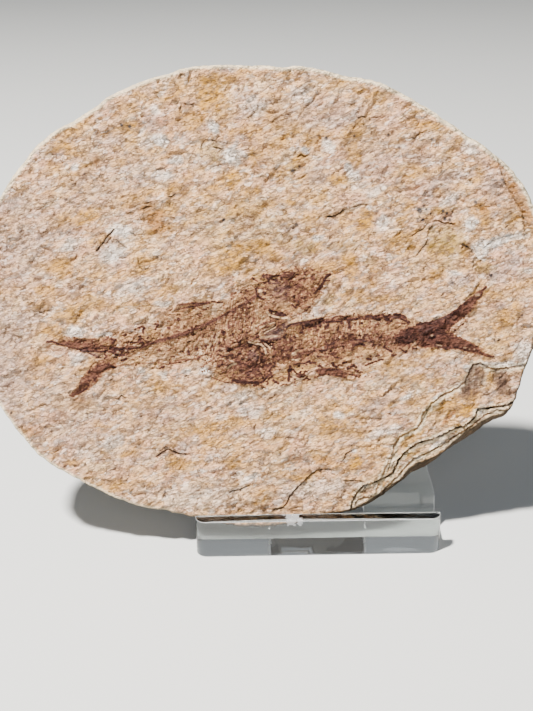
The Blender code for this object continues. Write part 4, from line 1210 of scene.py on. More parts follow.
def nearest(points, line, closed=False, within=3.0):
    """Distance to a line, side of it (1 on its right) and the way along it, for each point.

    Points farther from the line than `within` are only said to be that far away.
    """
    line = np.asarray(line, float)
    away = np.full(len(points), float(within))
    side = np.zeros(len(points))
    passed = np.zeros(len(points))
    low, high = line.min(axis=0) - within, line.max(axis=0) + within
    near = np.flatnonzero(((points >= low) & (points <= high)).all(axis=1))
    if not len(near):
        return away, side, passed
    near = near[np.argsort(points[near, 0], kind="stable")]
    found = points[near]
    if len(line) == 1:
        away[near] = np.minimum(within, np.linalg.norm(found - line[0], axis=1))
        return away, side, passed
    best, right, where = away[near], side[near], passed[near]
    ends = np.roll(line, -1, axis=0) if closed else line[1:]
    starts = line[: len(ends)]
    first = np.searchsorted(found[:, 0], np.minimum(starts[:, 0], ends[:, 0]) - within)
    last = np.searchsorted(found[:, 0], np.maximum(starts[:, 0], ends[:, 0]) + within)
    gone = 0.0
    for start, end, low, high in zip(starts, ends, first, last):
        along = end - start
        length = math.hypot(*along)
        offset = found[low:high] - start
        share = np.clip(offset @ along / length**2, 0.0, 1.0)
        gap = np.hypot(offset[:, 0] - share * along[0], offset[:, 1] - share * along[1])
        closer = gap < best[low:high]
        turn = along[1] * offset[:, 0] - along[0] * offset[:, 1]
        best[low:high][closer] = gap[closer]
        right[low:high][closer] = turn[closer] > 0
        where[low:high][closer] = gone + share[closer] * length
        gone += length
    away[near], side[near], passed[near] = best, right, where
    return away, side, passed


def deep_inside(points, outline, clear):
    """Whether each point lies within a closed outline and farther than this from it."""
    return inside(points, outline) & (nearest(points, outline, True, clear + 1.0)[0] > clear)


def touching(points, outline, reach):
    """Whether each point lies within a closed outline or nearer to it than this."""
    return inside(points, outline) | (nearest(points, outline, True, reach + 1.0)[0] < reach)


def depth_inside(points, outline):
    """How far each point lies within a closed outline; outside it, less than 0."""
    return nearest(points, outline, True)[0] * np.where(inside(points, outline), 1.0, -1.0)


def from_ellipse(points, reach, half_length, half_width, angle, x, z):
    """The points near an ellipse, and each one's distance from its middle in its radii."""
    offsets = points - (x, z)
    near = np.flatnonzero(np.hypot(*offsets.T) < reach * max(half_length, half_width))
    stretch = half_length / half_width
    return near, np.hypot(*along_grain(offsets[near], half_width, stretch, math.radians(angle)))


def hex_grid(low, high, name):
    """A triangular grid of points over a box, each moved a little at random."""
    spacing, jitter, seed = GRIDS[name]
    rows = int((high[1] - low[1]) / (spacing * math.sqrt(3) / 2)) + 1
    columns = int((high[0] - low[0]) / spacing) + 1
    column, row = np.meshgrid(np.arange(columns), np.arange(rows))
    x = low[0] + (column + 0.5 * (row % 2)) * spacing
    z = low[1] + row * spacing * math.sqrt(3) / 2
    points = np.stack([x.ravel(), z.ravel()], axis=1)
    return points + (np.random.default_rng(seed).random(points.shape) - 0.5) * jitter * spacing


def grid_inside(outline, name, clear):
    """The points of a grid that lie inside an outline and clear of it."""
    grid = hex_grid(outline.min(axis=0), outline.max(axis=0), name)
    return grid[deep_inside(grid, outline, clear)]


def triangulated(outline, lines, points, least=0.02):
    """Triangles that fill an outline, through the given lines and points."""
    flat = [outline]
    edges = [(k, (k + 1) % len(outline)) for k in range(len(outline))]
    first = len(outline)
    for line in lines:
        flat.append(line)
        edges += [(first + k, first + k + 1) for k in range(len(line) - 1)]
        first += len(line)
    flat.append(points)
    corners = [Vector(point) for point in np.concatenate(flat)]
    result = delaunay_2d_cdt(corners, edges, [], 1, least)
    return np.array(result[0]), result[2]


# ------------------------------------------------------------ noise

LATTICE = 256
# Noises over the plane: the seed, strength and length across and up in mm of each, and
# where they aren't the usual ones, its octaves and the share that each has of the last.
NOISES = {
    "bend": (11, 0.70, 7.5, 5.0),
    "grain": (21, 0.21, 3.9, 2.6, 3, 0.6),
    "pit": (31, 1.00, 5.1, 3.4, 2),
    "ledge": (50, 0.28, 1.5, 1.5),
    "scarp": (70, 0.10, 0.9, 0.9),
    "opened": (5, 0.50, 2.2, 2.2),
    "foot": (5, 0.70, 1.8, 1.8),
    "crack_shade": (6, 0.55, 1.3, 1.3),
    "speck": (8, 0.30, 0.625, 0.625),
    "patch": (3, 0.42, 2.4, 2.4, 4, 0.6),
    "stain": (41, 0.55, 0.9, 7.0),
    "stain edge": (42, 0.60, 1.1, 1.6),
    "fresh_and_lit": (43, 0.55, 1.4, 1.4),
    "rim chip": (61, 0.16, 1.7, 1.7, 2),
    "rim": (62, 0.20, 1.5, 1 / 1.1),
    "layer": (63, 0.30, 14.0, 1 / 1.5, 3, 0.6),
    "wall chip": (64, 0.22, 2.0, 1 / 0.9, 2),
    "hollow": (65, 0.225, 16.0, 16.0),
    "back grain": (66, 0.16, 4.0, 4.0),
    "fish edge": (97, 0.50, 0.9, 0.9),
    "fish grit": (98, 0.03, 0.55, 0.55),
    "fin edge": (45, 0.22, 0.6, 0.6),
    "fin": (46, 0.20, 2.04, 0.34, 2),
    "fleck": (81, 0.46, 1.0, 0.5, 2, 0.6),
    "fleck group": (86, 0.76, 2.03, 1.45),
    "ray": (84, 1.00, 2.8, 0.4, 2),
    "mottle": (88, 0.62, 1.3, 0.9, 3, 0.6),
    "wander": (90, 0.16, 1 / 1.1, 1 / 1.1),
    "broken": (95, 0.55, 1 / 2.2, 1 / 2.2),
    "smear": (71, 0.70, 1.2, 1.2),
}


def ease(low, high, value):
    """0 below low, 1 above high and a smooth rise between; low may be the larger."""
    share = np.clip((value - low) / (high - low), 0.0, 1.0)
    return share * share * (3.0 - 2.0 * share)


def wave(u, v, seed):
    """Smooth noise from about -1 to 1 at arrays of plane coordinates."""
    angle = np.random.default_rng(seed).random((LATTICE, LATTICE)) * 2 * math.pi
    column, row = np.floor(u).astype(int), np.floor(v).astype(int)
    along, up = u - column, v - row

    def corner(right, top):
        turn = angle[(column + right) % LATTICE, (row + top) % LATTICE]
        return np.cos(turn) * (along - right) + np.sin(turn) * (up - top)

    across = along**3 * (along * (6 * along - 15) + 10)
    rise = up**3 * (up * (6 * up - 15) + 10)
    lower = corner(0, 0) + across * (corner(1, 0) - corner(0, 0))
    upper = corner(0, 1) + across * (corner(1, 1) - corner(0, 1))
    return 1.4 * (lower + rise * (upper - lower))


def rough(u, v, seed, octaves=3, share=0.5):
    """Noise with finer and weaker noise added to it."""
    total = np.zeros(np.shape(u))
    for k in range(octaves):
        total += share**k * wave(u * 2**k, v * 2**k, seed + k)
    return total


def along_grain(points, length, stretch=GRAIN_STRETCH, angle=GRAIN_ANGLE):
    """Noise coordinates in which features are drawn out along the grain."""
    right = points[:, 0] * math.cos(angle) + points[:, 1] * math.sin(angle)
    up = points[:, 1] * math.cos(angle) - points[:, 0] * math.sin(angle)
    return right / (length * stretch), up / length


def blotches(points, name, angle=0.0, own=0):
    """One of the noises, drawn out at an angle; `own` sets it apart from others of its name."""
    seed, strength, across, up, *finer = NOISES[name]
    return strength * rough(*along_grain(points, up, across / up, angle), seed + own, *finer)


def cad_noise(points, length, shift):
    """The noise that the CAD's face is made from, at the same places."""
    right, up = along_grain(points, length)
    return np.array([noise.noise(Vector((u, v, 0.0)) + shift) for u, v in zip(right, up)])


# ------------------------------------------------------------ tables written as text


def rows_of(text):
    """The words of each row; a line that starts with a space goes on with its row."""
    return [line.split() for line in text.replace("\n ", " ").splitlines() if line]


def points_of(words):
    return np.array([[float(number) for number in word.split(",")] for word in words])


def line_rows(text, numbers):
    """Rows of numbers followed by the points of a line."""
    for words in rows_of(text):
        yield [float(word) for word in words[:numbers]], points_of(words[numbers:])


def random_scarps():
    """Small flake edges scattered over the face, roughly along the grain."""
    draw = np.random.default_rng(SCARP_SEED)
    across, up = SCARP_FIELD
    for _ in range(RANDOM_SCARPS):
        middle = np.array([draw.uniform(*across), draw.uniform(*up)])
        angle = GRAIN_ANGLE + draw.normal(0.0, SCARP_TURN)
        length = draw.uniform(*SCARP_LENGTHS)
        steps = np.linspace(-0.5, 0.5, SCARP_POINTS)[:, None] * length
        line = middle + steps * np.array([math.cos(angle), math.sin(angle)])
        line += draw.normal(0.0, SCARP_WANDER, line.shape)
        yield [draw.uniform(*SCARP_GAPS), draw.uniform(*SCARP_DROPS)], line


# ------------------------------------------------------------ the stone's face


def ragged(line, name, closed, own=0):
    """A line with the small unevenness of a break."""
    fine = spaced(line, LINE_SPACING, closed)
    along = np.gradient(fine, axis=0)
    along /= np.maximum(np.linalg.norm(along, axis=1, keepdims=True), 1e-9)
    normals = np.stack([-along[:, 1], along[:, 0]], axis=1)
    return fine + normals * blotches(fine, name, own=own)[:, None]


def grown(outline, reach):
    """A closed outline pushed outward; what would fold over at its notches is left out."""
    pushed = outline + left_normals(outline) * reach
    if inside(pushed, outline).mean() >= 0.5:
        pushed = outline - left_normals(outline) * reach
    away = nearest(pushed, outline, True, reach + 0.1)[0]
    keep = ~inside(pushed, outline) & (away > 0.97 * reach)
    return spaced(pushed[keep], OUTLINE_SPACING, True)


LEDGE_LINES = [
    (drop, width, gap, closes, ragged(line, "ledge", True, k))
    for k, (drop, width, gap, closes, line) in enumerate(LEDGES)
]
SCARP_LINES = [
    (gap, drop, ragged(line, "scarp", False))
    for (gap, drop), line in [*line_rows(SCARPS, 2), *random_scarps()]
]
BROKEN_ZONE = LEDGE_LINES[1][-1]  # the ledge that the other broken layers lie within
FISH_OUTLINES = {
    name: grown(rounded_line(in_plane(outline), OUTLINE_SPACING), FISH_MARGIN)
    for name, outline in (("fish_left", LEFT_FISH), ("fish_right", RIGHT_FISH))
}


def flakes(points):
    """Fine relief of the split face: thin broken films and grain, both along the grain."""
    bend = blotches(points, "bend", GRAIN_ANGLE)
    right, up = along_grain(points, FILM_LENGTH, FLAKE_STRETCH)
    films = FILM_LEVELS * rough(right + bend, up - bend, *FILM_NOISE)
    level = np.floor(films)
    films = level + ease(*FILM_EDGE, films - level)
    pits = ease(*PIT_EDGE, blotches(points, "pit", GRAIN_ANGLE))
    return FILM_HEIGHT * films + blotches(points, "grain", GRAIN_ANGLE) + PIT_DEPTH * pits


def end_taper(line, along):
    """Rises from 0 at both ends of a line, given how far along it each point is."""
    length = np.linalg.norm(np.diff(line, axis=0), axis=1).sum()
    return ease(0.0, SCARP_TAPER, np.minimum(along, length - along))


def stone_depth(points):
    """How far the front face lies behind the nominal front plane, in mm."""
    depth = SWELL * (1 + cad_noise(points, SWELL_LENGTH, Vector()))
    depth += LUMP * (1 + cad_noise(points, LUMP_LENGTH, Vector(LUMP_SHIFT)))
    depth += flakes(points)
    opened = np.clip(0.5 + blotches(points, "opened"), 0.0, 1.0)
    for drop, width, gap, _, line in LEDGE_LINES:
        away = nearest(points, line, True, 4.0)[0]
        groove = gap * opened * np.exp(-(((away - GROOVE_IN) / GROOVE_HALF) ** 2))
        depth += inside(points, line) * (drop * np.clip(away / width, 0.0, 1.0) + groove)
    for gap, drop, line in SCARP_LINES:
        away, side, along = nearest(points, line)
        taper = end_taper(line, along)
        fade = np.exp(-away / SCARP_FADE) * (away < 2.99)
        depth += taper * drop * side * np.clip(away / STEP_WIDTH, 0.0, 1.0) * fade
        depth += taper * gap * np.clip(1.0 - away / CRACK_WIDTH, 0.0, 1.0)
    return depth


def patch_masks(points):
    """The share of each named colour at each point of the face."""
    masks = {}
    ragged_edge = blotches(points, "patch")
    for kind, rows in PATCHES.items():
        bare = np.ones(len(points))
        for row in rows_of(rows):
            strength, *ellipse = map(float, row)
            near, radii = from_ellipse(points, PATCH_REACH, *ellipse)
            bare[near] *= 1 - strength * ease(*PATCH_EDGE, radii + ragged_edge[near])
        masks[kind] = 1 - bare
    return masks


def stain_mask(points):
    """How strongly the brown stain shows, streaked from top to bottom."""
    shown = np.zeros(len(points))
    streaks = np.clip(1.0 + blotches(points, "stain"), 0.3, 1.1)
    uneven = blotches(points, "stain edge")
    for (strength,), outline in line_rows(STAINS, 1):
        away = depth_inside(points, outline) + uneven
        shown = np.maximum(shown, strength * streaks * ease(-STAIN_EDGE, STAIN_EDGE, away))
    return np.clip(shown, 0.0, 1.0)


def broken_edges(points):
    """Where the pale inside of the stone shows, beside the ledges' broken edges."""
    shown = np.zeros(len(points))
    uneven = blotches(points, "fresh_and_lit")
    for _, _, gap, _, line in LEDGE_LINES:
        if gap:
            away = nearest(points, line, True)[0]
            within = inside(points, line)
            below = within * ease(*PALE_START, away) * ease(*PALE_END, away + uneven)
            above = ~within * ease(*PALE_ABOVE, away + uneven)
            shown = np.maximum(shown, np.maximum(below, above) * 0.75)
    return np.clip(shown, 0.0, 0.9)


def crack_shade_and_specks(points):
    """How dark the painted shade in the cracks and the painted shadow at the ledges' feet make each
    point, and how dark the mineral specks do.
    """
    dark, speck = np.zeros((2, len(points)))
    uneven = np.clip(0.85 + blotches(points, "crack_shade"), 0.3, 1.0)
    for gap, _, line in SCARP_LINES:
        away, _, along = nearest(points, line, within=0.7)
        shown = end_taper(line, along) * min(1.0, gap + 0.25) * uneven
        dark = np.maximum(dark, shown * ease(*CRACK_SHADE_RANGE, away))
    opened = np.clip(0.80 + blotches(points, "foot"), 0.15, 1.0)
    left, right = FOOT_CLOSES
    for _, _, gap, closes, line in LEDGE_LINES:
        off = np.abs(nearest(points, line, True, 1.6)[0] - FOOT_IN)
        foot = inside(points, line) * ease(0.25 + 0.55 * gap, 0.10 + 0.35 * gap, off)
        foot = foot * (0.35 + 0.65 * ease(closes - left, closes + right, points[:, 0]))
        dark = np.maximum(dark, foot * opened * min(0.97, 1.25 * gap))
    uneven = blotches(points, "speck")
    for row in rows_of(SPECKS):
        strength, radius, x, z = map(float, row)
        away = np.hypot(*(points - (x, z)).T)
        speck = np.maximum(speck, strength * ease(*SPECK_RISE, away / radius + uneven))
    return dark, speck


# ------------------------------------------------------------ meshes


def linked(name, data):
    """A new object in the scene."""
    obj = bpy.data.objects.new(name, data)
    bpy.context.scene.collection.objects.link(obj)
    return obj


def new_object(name, corners, faces):
    """An object from corners in metres, with its normals facing out."""
    mesh = bpy.data.meshes.new(name)
    mesh.from_pydata([tuple(c) for c in corners], [], [tuple(f) for f in faces])
    bm = bmesh.new()
    bm.from_mesh(mesh)
    bmesh.ops.triangulate(bm, faces=[face for face in bm.faces if len(face.verts) > 4])
    bmesh.ops.recalc_face_normals(bm, faces=bm.faces)
    bm.to_mesh(mesh)
    bm.free()
    return linked(name, mesh)


def set_attribute(obj, name, values):
    """A value for each point of a mesh; points past the last value get 0."""
    padded = np.zeros(len(obj.data.vertices), np.float32)
    padded[: len(values)] = values
    obj.data.attributes.new(name, "FLOAT", "POINT").data.foreach_set("value", padded)


def shade_smooth(obj, angle):
    obj.data.shade_smooth()
    obj.data.set_sharp_from_angle(angle=math.radians(angle))


def place(points, depth):
    """Corners in metres from points of the plane and their depth behind its front."""
    depth = np.broadcast_to(depth, len(points))
    return np.stack([points[:, 0], depth - SLAB_THICKNESS, points[:, 1]], axis=1) * MM


def band(first, second, count):
    """Quads between two rings whose corners start at the given numbers."""
    return [
        (first + k, second + k, second + (k + 1) % count, first + (k + 1) % count)
        for k in range(count)
    ]


def clear_of(points, lines, clear):
    keep = np.ones(len(points), bool)
    for line in lines:
        keep &= nearest(points, line, within=clear + 0.1)[0] > clear
    return points[keep]


def clipped(lines, outline, clear):
    """The stretches of lines that lie inside an outline and clear of its edge."""
    good = deep_inside(np.concatenate(lines), outline, clear)
    stretches, first = [], 0
    for line in lines:
        here = good[first : first + len(line)]
        first += len(line)
        cuts = np.flatnonzero(here[1:] != here[:-1]) + 1
        for run, kept in zip(np.split(line, cuts), np.split(here, cuts)):
            if kept[0] and len(run) > 1:
                stretches.append(run)
    return stretches


def face_points(front):
    """Lines and points that the front face's triangles run through."""
    lines = []
    for _, width, _, _, line in LEDGE_LINES:
        lines += [line, line + left_normals(line) * width]
    for _, _, line in SCARP_LINES:
        along = np.gradient(line, axis=0)
        along /= np.linalg.norm(along, axis=1, keepdims=True)
        right = np.stack([along[:, 1], -along[:, 0]], axis=1)
        lines += [line + right * side * CRACK_WIDTH for side in (-CRACK_SIDE, 0.0, CRACK_SIDE)]
    lines = clipped(lines, front, LINE_END_CLEAR)

    grid = grid_inside(front, "face", FACE_CLEAR)
    coarser = touching(grid, BROKEN_ZONE, LEDGE_MARGIN)
    for outline in FISH_OUTLINES.values():
        coarser |= deep_inside(grid, outline, HIDDEN_CLEAR)
    parts = [grid[~coarser]]
    fine = hex_grid(BROKEN_ZONE.min(axis=0) - 2, LEDGE_CORNER, "ledge")
    parts.append(fine[touching(fine, BROKEN_ZONE, LEDGE_MARGIN)])
    for name, outline in FISH_OUTLINES.items():
        hidden = grid_inside(outline, "hidden", HIDDEN_CLEAR)
        if name == "fish_right":
            hidden = hidden[~inside(hidden, FISH_OUTLINES["fish_left"])]
        parts.append(hidden)
    for row in rows_of(SPECKS):
        _, radius, x, z = map(float, row)
        low, high = (x - SPECK_HALF, z - SPECK_HALF), (x + SPECK_HALF, z + SPECK_HALF)
        around = hex_grid(low, high, "speck")
        off = np.hypot(*(around - (x, z)).T)
        parts.append(around[off < radius + SPECK_MARGIN])
    points = np.concatenate(parts)
    points = points[deep_inside(points, front, FACE_CLEAR)]
    return lines, clear_of(points, lines, LINE_CLEAR)


def slab_rings():
    """The slab's widest outline, its outward normals, and the edge's shape round it."""
    smooth = rounded_line(in_plane(OUTLINE), EDGE_SPACING)
    normals = left_normals(smooth)
    soft = normals.copy()
    for shift in range(-SOFT_NORMALS, SOFT_NORMALS + 1):
        soft += np.roll(normals, shift, axis=0)
    soft /= np.linalg.norm(soft, axis=1, keepdims=True)
    nibble = np.array([noise.noise(Vector((x, z, 0.0)) / NIBBLE_LENGTH) for x, z in smooth])
    chips = blotches(smooth, "rim chip")
    widest = smooth + normals * (EDGE_NIBBLE * nibble + chips)[:, None]
    stations = np.array(EDGE_STATIONS)
    angle = np.degrees(np.arctan2(*(smooth - PLATE_MIDDLE).T[::-1])) % 360
    shape = [np.interp(angle, stations[:, 0], stations[:, k], period=360) for k in (1, 2, 3)]
    return widest, soft, shape


def edge_rings(front, widest, normals, top, drop, back_inset):
    """The rings of the chipped rim, then of the layered wall, each with its height."""
    lap = np.arange(len(widest)) * EDGE_SPACING
    out, down = BEVEL_ROUND
    for k in range(1, BEVEL_RINGS + 1):
        share = k / BEVEL_RINGS
        height = top - drop * share**down
        chips = blotches(np.stack([lap, height + RIM_SHIFT], axis=1), "rim")
        ring = front + (widest - front) * share**out
        yield ring + normals * (chips * math.sin(math.pi * share))[:, None], height
    for k in range(1, WALL_RINGS + 1):
        share = 1 - k / WALL_RINGS
        height = (top - drop) * share
        wall = np.stack([lap, height], axis=1)
        inward = back_inset * (1 - share) + WALL_INSET
        inward -= blotches(wall, "layer") + blotches(wall, "wall chip")
        yield widest - normals * inward[:, None], height


def back_face(ring):
    """Points, depths and triangles of the back, which fills the wall's last ring."""
    back, faces = triangulated(ring, [], grid_inside(ring, "back", BACK_CLEAR))
    hollows = BACK_DEPTH + blotches(back, "hollow") + blotches(back, "back grain")
    away = nearest(back, ring, True)[0]
    hollows = np.clip(hollows, 0.0, None) * ease(0.0, BACK_EDGE, away)
    return back, SLAB_THICKNESS - hollows, faces


def build_slab():
    """The stone as one closed mesh: rough face, chipped rim, layered wall and back."""
    widest, normals, (inset, drop, back_inset) = slab_rings()
    count = len(widest)
    front = widest - normals * inset[:, None]
    flat, faces = triangulated(front, *face_points(front))
    depth = stone_depth(flat)
    under = np.zeros(len(flat))
    for outline in FISH_OUTLINES.values():
        away = nearest(flat, outline, True)[0]
        under = np.maximum(under, inside(flat, outline) * ease(*SINK_EDGE, away))
    corners = [place(flat, depth + FISH_SINK * under)]
    faces = [tuple(face) for face in faces]
    previous, total = 0, len(flat)
    top = SLAB_THICKNESS - depth[:count]
    for ring, height in edge_rings(front, widest, normals, top, drop, back_inset):
        corners.append(place(ring, SLAB_THICKNESS - height))
        faces += band(previous, total, count)
        previous, total = total, total + count
    back, back_depth, back_faces = back_face(ring)
    corners.append(place(back[count:], back_depth[count:]))
    numbers = [*range(previous, previous + count), *range(total, total + len(back) - count)]
    faces += [tuple(numbers[corner] for corner in face) for face in back_faces]
    corners = np.concatenate(corners)
    slab = new_object("slab_stone", corners, faces)
    shade_smooth(slab, SLAB_SHARP)
    paint_slab(slab, corners[:, [0, 2]] / MM, flat, front)
    return slab


def paint_slab(slab, plane, flat, front):
    """The shares of the stone's colours, for the face's points and then for all the rest."""
    shown = np.where(np.arange(len(plane)) < len(flat), 1.0, EDGE_PATCHES)
    for kind, mask in patch_masks(plane).items():
        set_attribute(slab, kind, mask * shown)
    dark, speck = crack_shade_and_specks(flat)
    for name, share in (("stain", stain_mask(flat)), ("crack_shade", dark), ("speck", speck)):
        set_attribute(slab, name, share)
    edge, broken = np.zeros((2, len(plane)))
    edge[: len(flat)] = nearest(flat, front, True, 2.0)[0]
    broken[: len(flat)] = broken_edges(flat)
    # Towards the lower right the edge faces away from the light: painted shade darkens the rim, the wall
    # and the back there.
    shaded_side = ease(*SHADED_SIDE_FROM, ((plane - PLATE_MIDDLE) @ LOWER_RIGHT) / SLAB_REACH)
    # The pale rim, wall and back are fresh stone and, away from the lower right, a painted highlight
    # too; beside the ledges the pale inside of the stone shows.
    fresh_and_lit = np.maximum(ease(FRESH_AND_LIT_EDGE, 0.0, edge) * (1 - shaded_side), broken)
    set_attribute(slab, "fresh_and_lit", fresh_and_lit)
    set_attribute(slab, "edge_shade", ease(EDGE_SHADE_REACH, 0.0, edge) * shaded_side)


# ------------------------------------------------------------ the fish


FISH_FORMS = ((LEFT_SPINE, LEFT_SKULL), (RIGHT_SPINE, RIGHT_SKULL))
FISH_LEAST = 0.005  # nearest that two points of a fish may be


def raise_to(layer, near, values):
    """Lifts these points of a layer to at least these values."""
    layer[near] = np.maximum(layer[near], values)


def fleck_marks(points, turn, density):
    """Small broken marks drawn out at an angle, as dark as they are far from their edges."""
    value = blotches(points, "fleck", turn) + blotches(points, "fleck group", turn)
    level = 0.56 - 0.66 * density
    return ease(level, level + 0.40, value) * (0.34 + 0.44 * ease(level, level + 0.70, value))


def ray_marks(points, turn, strength):
    """Long strokes, as of ribs and rays pressed flat, and the pale rock between them."""
    rays = blotches(points, "ray", turn)
    return strength * ease(-0.1, 0.55, rays), 0.9 * strength * ease(0.15, 0.75, -rays)


def fin_shade(points):
    """Soft brown of the fins, filled in to the edge of each and streaked."""
    shown = np.zeros(len(points))
    uneven = blotches(points, "fin edge")
    for (strength, angle), outline in line_rows(FINS, 2):
        away = depth_inside(points, outline) + uneven
        streaked = strength + blotches(points, "fin", math.radians(angle))
        shown = np.maximum(shown, streaked * ease(-FIN_EDGE, FIN_EDGE, away))
    return shown


def draw_fish(points):
    """Shares of bone, redness, grey film, paleness and tan, and the relief of the marks; the paleness
    holds painted highlights along ridges, and the bone painted shade in hollows.
    """
    bone, red, grey, pale, gaps, tan, relief = np.zeros((7, len(points)))
    mottle = np.clip(0.84 + blotches(points, "mottle"), 0.25, 1.25)
    for kind, *numbers in rows_of(LEFT_AREAS + RIGHT_AREAS):
        strength, half_length, half_width, angle, x, z = map(float, numbers)
        turn = math.radians(angle)
        own = 0.0 if kind in ("fleck", "ray") else angle
        near, radii = from_ellipse(points, AREA_REACH, half_length, half_width, own, x, z)
        soft = ease(*AREA_EDGE, radii)
        if kind == "fleck":
            here = fleck_marks(points[near], turn, strength * soft) * ease(0.0, 0.3, soft)
            raise_to(bone, near, here)
            relief[near] += FLECK_RELIEF * here
        elif kind == "ray":
            here, between = ray_marks(points[near], turn, strength)
            raise_to(bone, near, here * soft)
            raise_to(gaps, near, between * soft)
            up, up_between = RAY_RELIEF
            relief[near] += (up * here + up_between * between) * soft
        elif kind == "shade":
            raise_to(bone, near, mottle[near] * strength * soft)
        else:
            raise_to({"grey": grey, "tan": tan}[kind], near, strength * soft)
    bone = np.maximum(bone * (1 - 0.55 * tan), fin_shade(points))
    wander = blotches(points, "wander")
    broken = np.clip(1.0 + blotches(points, "broken"), 0.45, 1.12)
    for kind, *words in rows_of(LEFT_MARKS + RIGHT_MARKS):
        strength, width = float(words[0]), float(words[1])
        away = nearest(points, points_of(words[2:]), within=width + MARK_MARGIN)[0]
        near = np.flatnonzero(away < width + MARK_MARGIN)
        away = away[near] + min(width, 0.9) * wander[near]
        here = ease(0.76 * width + 0.14, 0.22 * width - 0.04, away)
        shown = strength * here * broken[near]
        if kind in ("dark", "hollow"):
            # dark bone, and in a hollow mark painted shade as well
            raise_to(bone, near, shown)
        elif kind == "rust":
            raise_to(bone, near, 0.75 * shown)
            raise_to(red, near, here)
        elif kind == "grey":
            raise_to(grey, near, shown)
        else:
            # pale rock, and along a ridge a painted highlight
            raise_to(pale, near, shown)
            bone[near] *= 1 - here * strength
        relief[near] += MARK_RELIEF[kind] * here * (1.0 if kind == "grey" else strength)
    pale = np.maximum(pale, gaps * ease(0.62, 0.36, bone))
    return bone, red, grey, pale, tan, relief


def fish_surface(points, name):
    """Depth of a fish's top below the nominal plane, and its colour shares.

    Both fish are drawn on each, so that they agree where the right one lies over the left.
    """
    bone, red, grey, pale, tan, relief = draw_fish(points)
    other = FISH_OUTLINES["fish_right" if name == "fish_left" else "fish_left"]
    beyond = nearest(points, other, True)[0] * inside(points, other)
    edge = np.maximum(nearest(points, FISH_OUTLINES[name], True)[0], beyond)
    uneven = blotches(points, "fish edge")
    lift = -FISH_SUNK + FISH_LIFT * ease(0.0, FISH_EDGE, edge + uneven * 0.6)
    form = np.zeros(len(points))
    for spine, (middle, reach) in FISH_FORMS:
        away, _, along = nearest(points, np.array(spine))
        bead = 0.75 + 0.25 * np.cos(along * 2 * math.pi / BEAD_LENGTH)
        far = np.hypot(*(points - middle).T) / reach
        skull = SKULL_LIFT * np.clip(1 - far**2, 0.0, 1.0)
        form = np.maximum(form, SPINE_LIFT * ease(SPINE_HALF, 0.1, away) * bead + skull)
    lift += (form + relief) * ease(0.0, FORM_EDGE, edge)
    lift += blotches(points, "fish grit")
    if name == "fish_left":
        lift -= OVERLAP_SINK * ease(*OVERLAP_EDGE, beyond)
    inner = ease(0.0, COLOUR_EDGE, edge + 0.3 * uneven)
    return stone_depth(points) - lift, (bone * inner, red, grey * inner, pale * inner, tan * inner)


def build_fish(name):
    """One fossil fish: a thin closed plate that rises out of the stone's face."""
    outline = FISH_OUTLINES[name]
    flat, faces = triangulated(outline, [], grid_inside(outline, "fish", FISH_CLEAR), FISH_LEAST)
    depth, shares = fish_surface(flat, name)
    sparse = grid_inside(outline, "fish floor", FISH_FLOOR_CLEAR)
    floor, floor_faces = triangulated(outline, [], sparse, FISH_LEAST)
    total = len(flat)
    corners = [place(flat, depth), place(floor, stone_depth(floor) + FISH_THICKNESS)]
    corners = np.concatenate(corners)
    faces = [tuple(face) for face in faces] + band(0, total, len(outline))
    faces += [tuple(total + corner for corner in face[::-1]) for face in floor_faces]
    fish = new_object("fossil_" + name, corners, faces)
    shade_smooth(fish, FISH_SHARP)
    for kind, mask in patch_masks(corners[:, [0, 2]] / MM).items():
        set_attribute(fish, kind, mask)
    for kind, share in zip(("bone", "red", "film", "light", "tan"), shares):
        set_attribute(fish, kind, share)
    return fish


# ------------------------------------------------------------ materials


class Nodes:
    """A material's nodes, with short calls to add and join them."""

    def __init__(self, name):
        self.material = bpy.data.materials.new(name)
        self.material.use_nodes = True
        self.tree = self.material.node_tree
        self.shader = self.tree.nodes["Principled BSDF"]

    def add(self, kind, inputs=(), **settings):
        made = self.tree.nodes.new("ShaderNode" + kind)
        for key, value in settings.items():
            setattr(made, key, value)
        for key, value in dict(inputs).items():
            self.join(value, made.inputs[key])
        return made

    def join(self, value, socket):
        if isinstance(value, bpy.types.NodeSocket):
            self.tree.links.new(value, socket)
        elif isinstance(value, tuple) and len(value) == 3 and socket.type == "RGBA":
            socket.default_value = (*value, 1.0)
        else:
            socket.default_value = value

    def attribute(self, name):
        return self.add("Attribute", attribute_name=name).outputs["Fac"]

    def noise(self, vector, scale, detail, roughness=0.5):
        inputs = {"Vector": vector, "Scale": scale, "Detail": detail, "Roughness": roughness}
        return self.add("TexNoise", inputs).outputs["Fac"]

    def math(self, operation, first, second=0.0, clamp=False):
        made = self.add("Math", {0: first, 1: second}, operation=operation)
        made.use_clamp = clamp
        return made.outputs[0]

    def vector(self, operation, first, second=None, scale=None):
        made = self.add("VectorMath", {0: first}, operation=operation)
        if second is not None:
            self.join(second, made.inputs[1])
        if scale is not None:
            made.inputs["Scale"].default_value = scale
        return made.outputs["Value" if operation == "DOT_PRODUCT" else "Vector"]

    def spread(self, value, low, high, to_low=0.0, to_high=1.0):
        inputs = {"Value": value, "From Min": low, "From Max": high, "To Min": to_low, "To Max": to_high}
        return self.add("MapRange", inputs).outputs["Result"]

    def mix(self, share, first, second):
        made = self.add("Mix", data_type="RGBA")
        self.join(share, made.inputs["Factor"])
        self.join(first, made.inputs[6])
        self.join(second, made.inputs[7])
        return made.outputs[2]

    def painted(self, colour, *layers):
        """A colour with others laid over it, each by its own share."""
        for share, paint in layers:
            colour = self.mix(share, colour, paint)
        return colour

    def bump(self, height, distance):
        return self.add("Bump", {"Height": height, "Distance": distance}).outputs["Normal"]

    def finish(self, colour, normal, roughness, specular):
        """Join these to the shader, and return the material."""
        inputs = {
            "Base Color": colour, "Normal": normal, "Roughness": roughness,
            "Specular IOR Level": specular,
        }
        for name, value in inputs.items():
            self.join(value, self.shader.inputs[name])
        return self.material


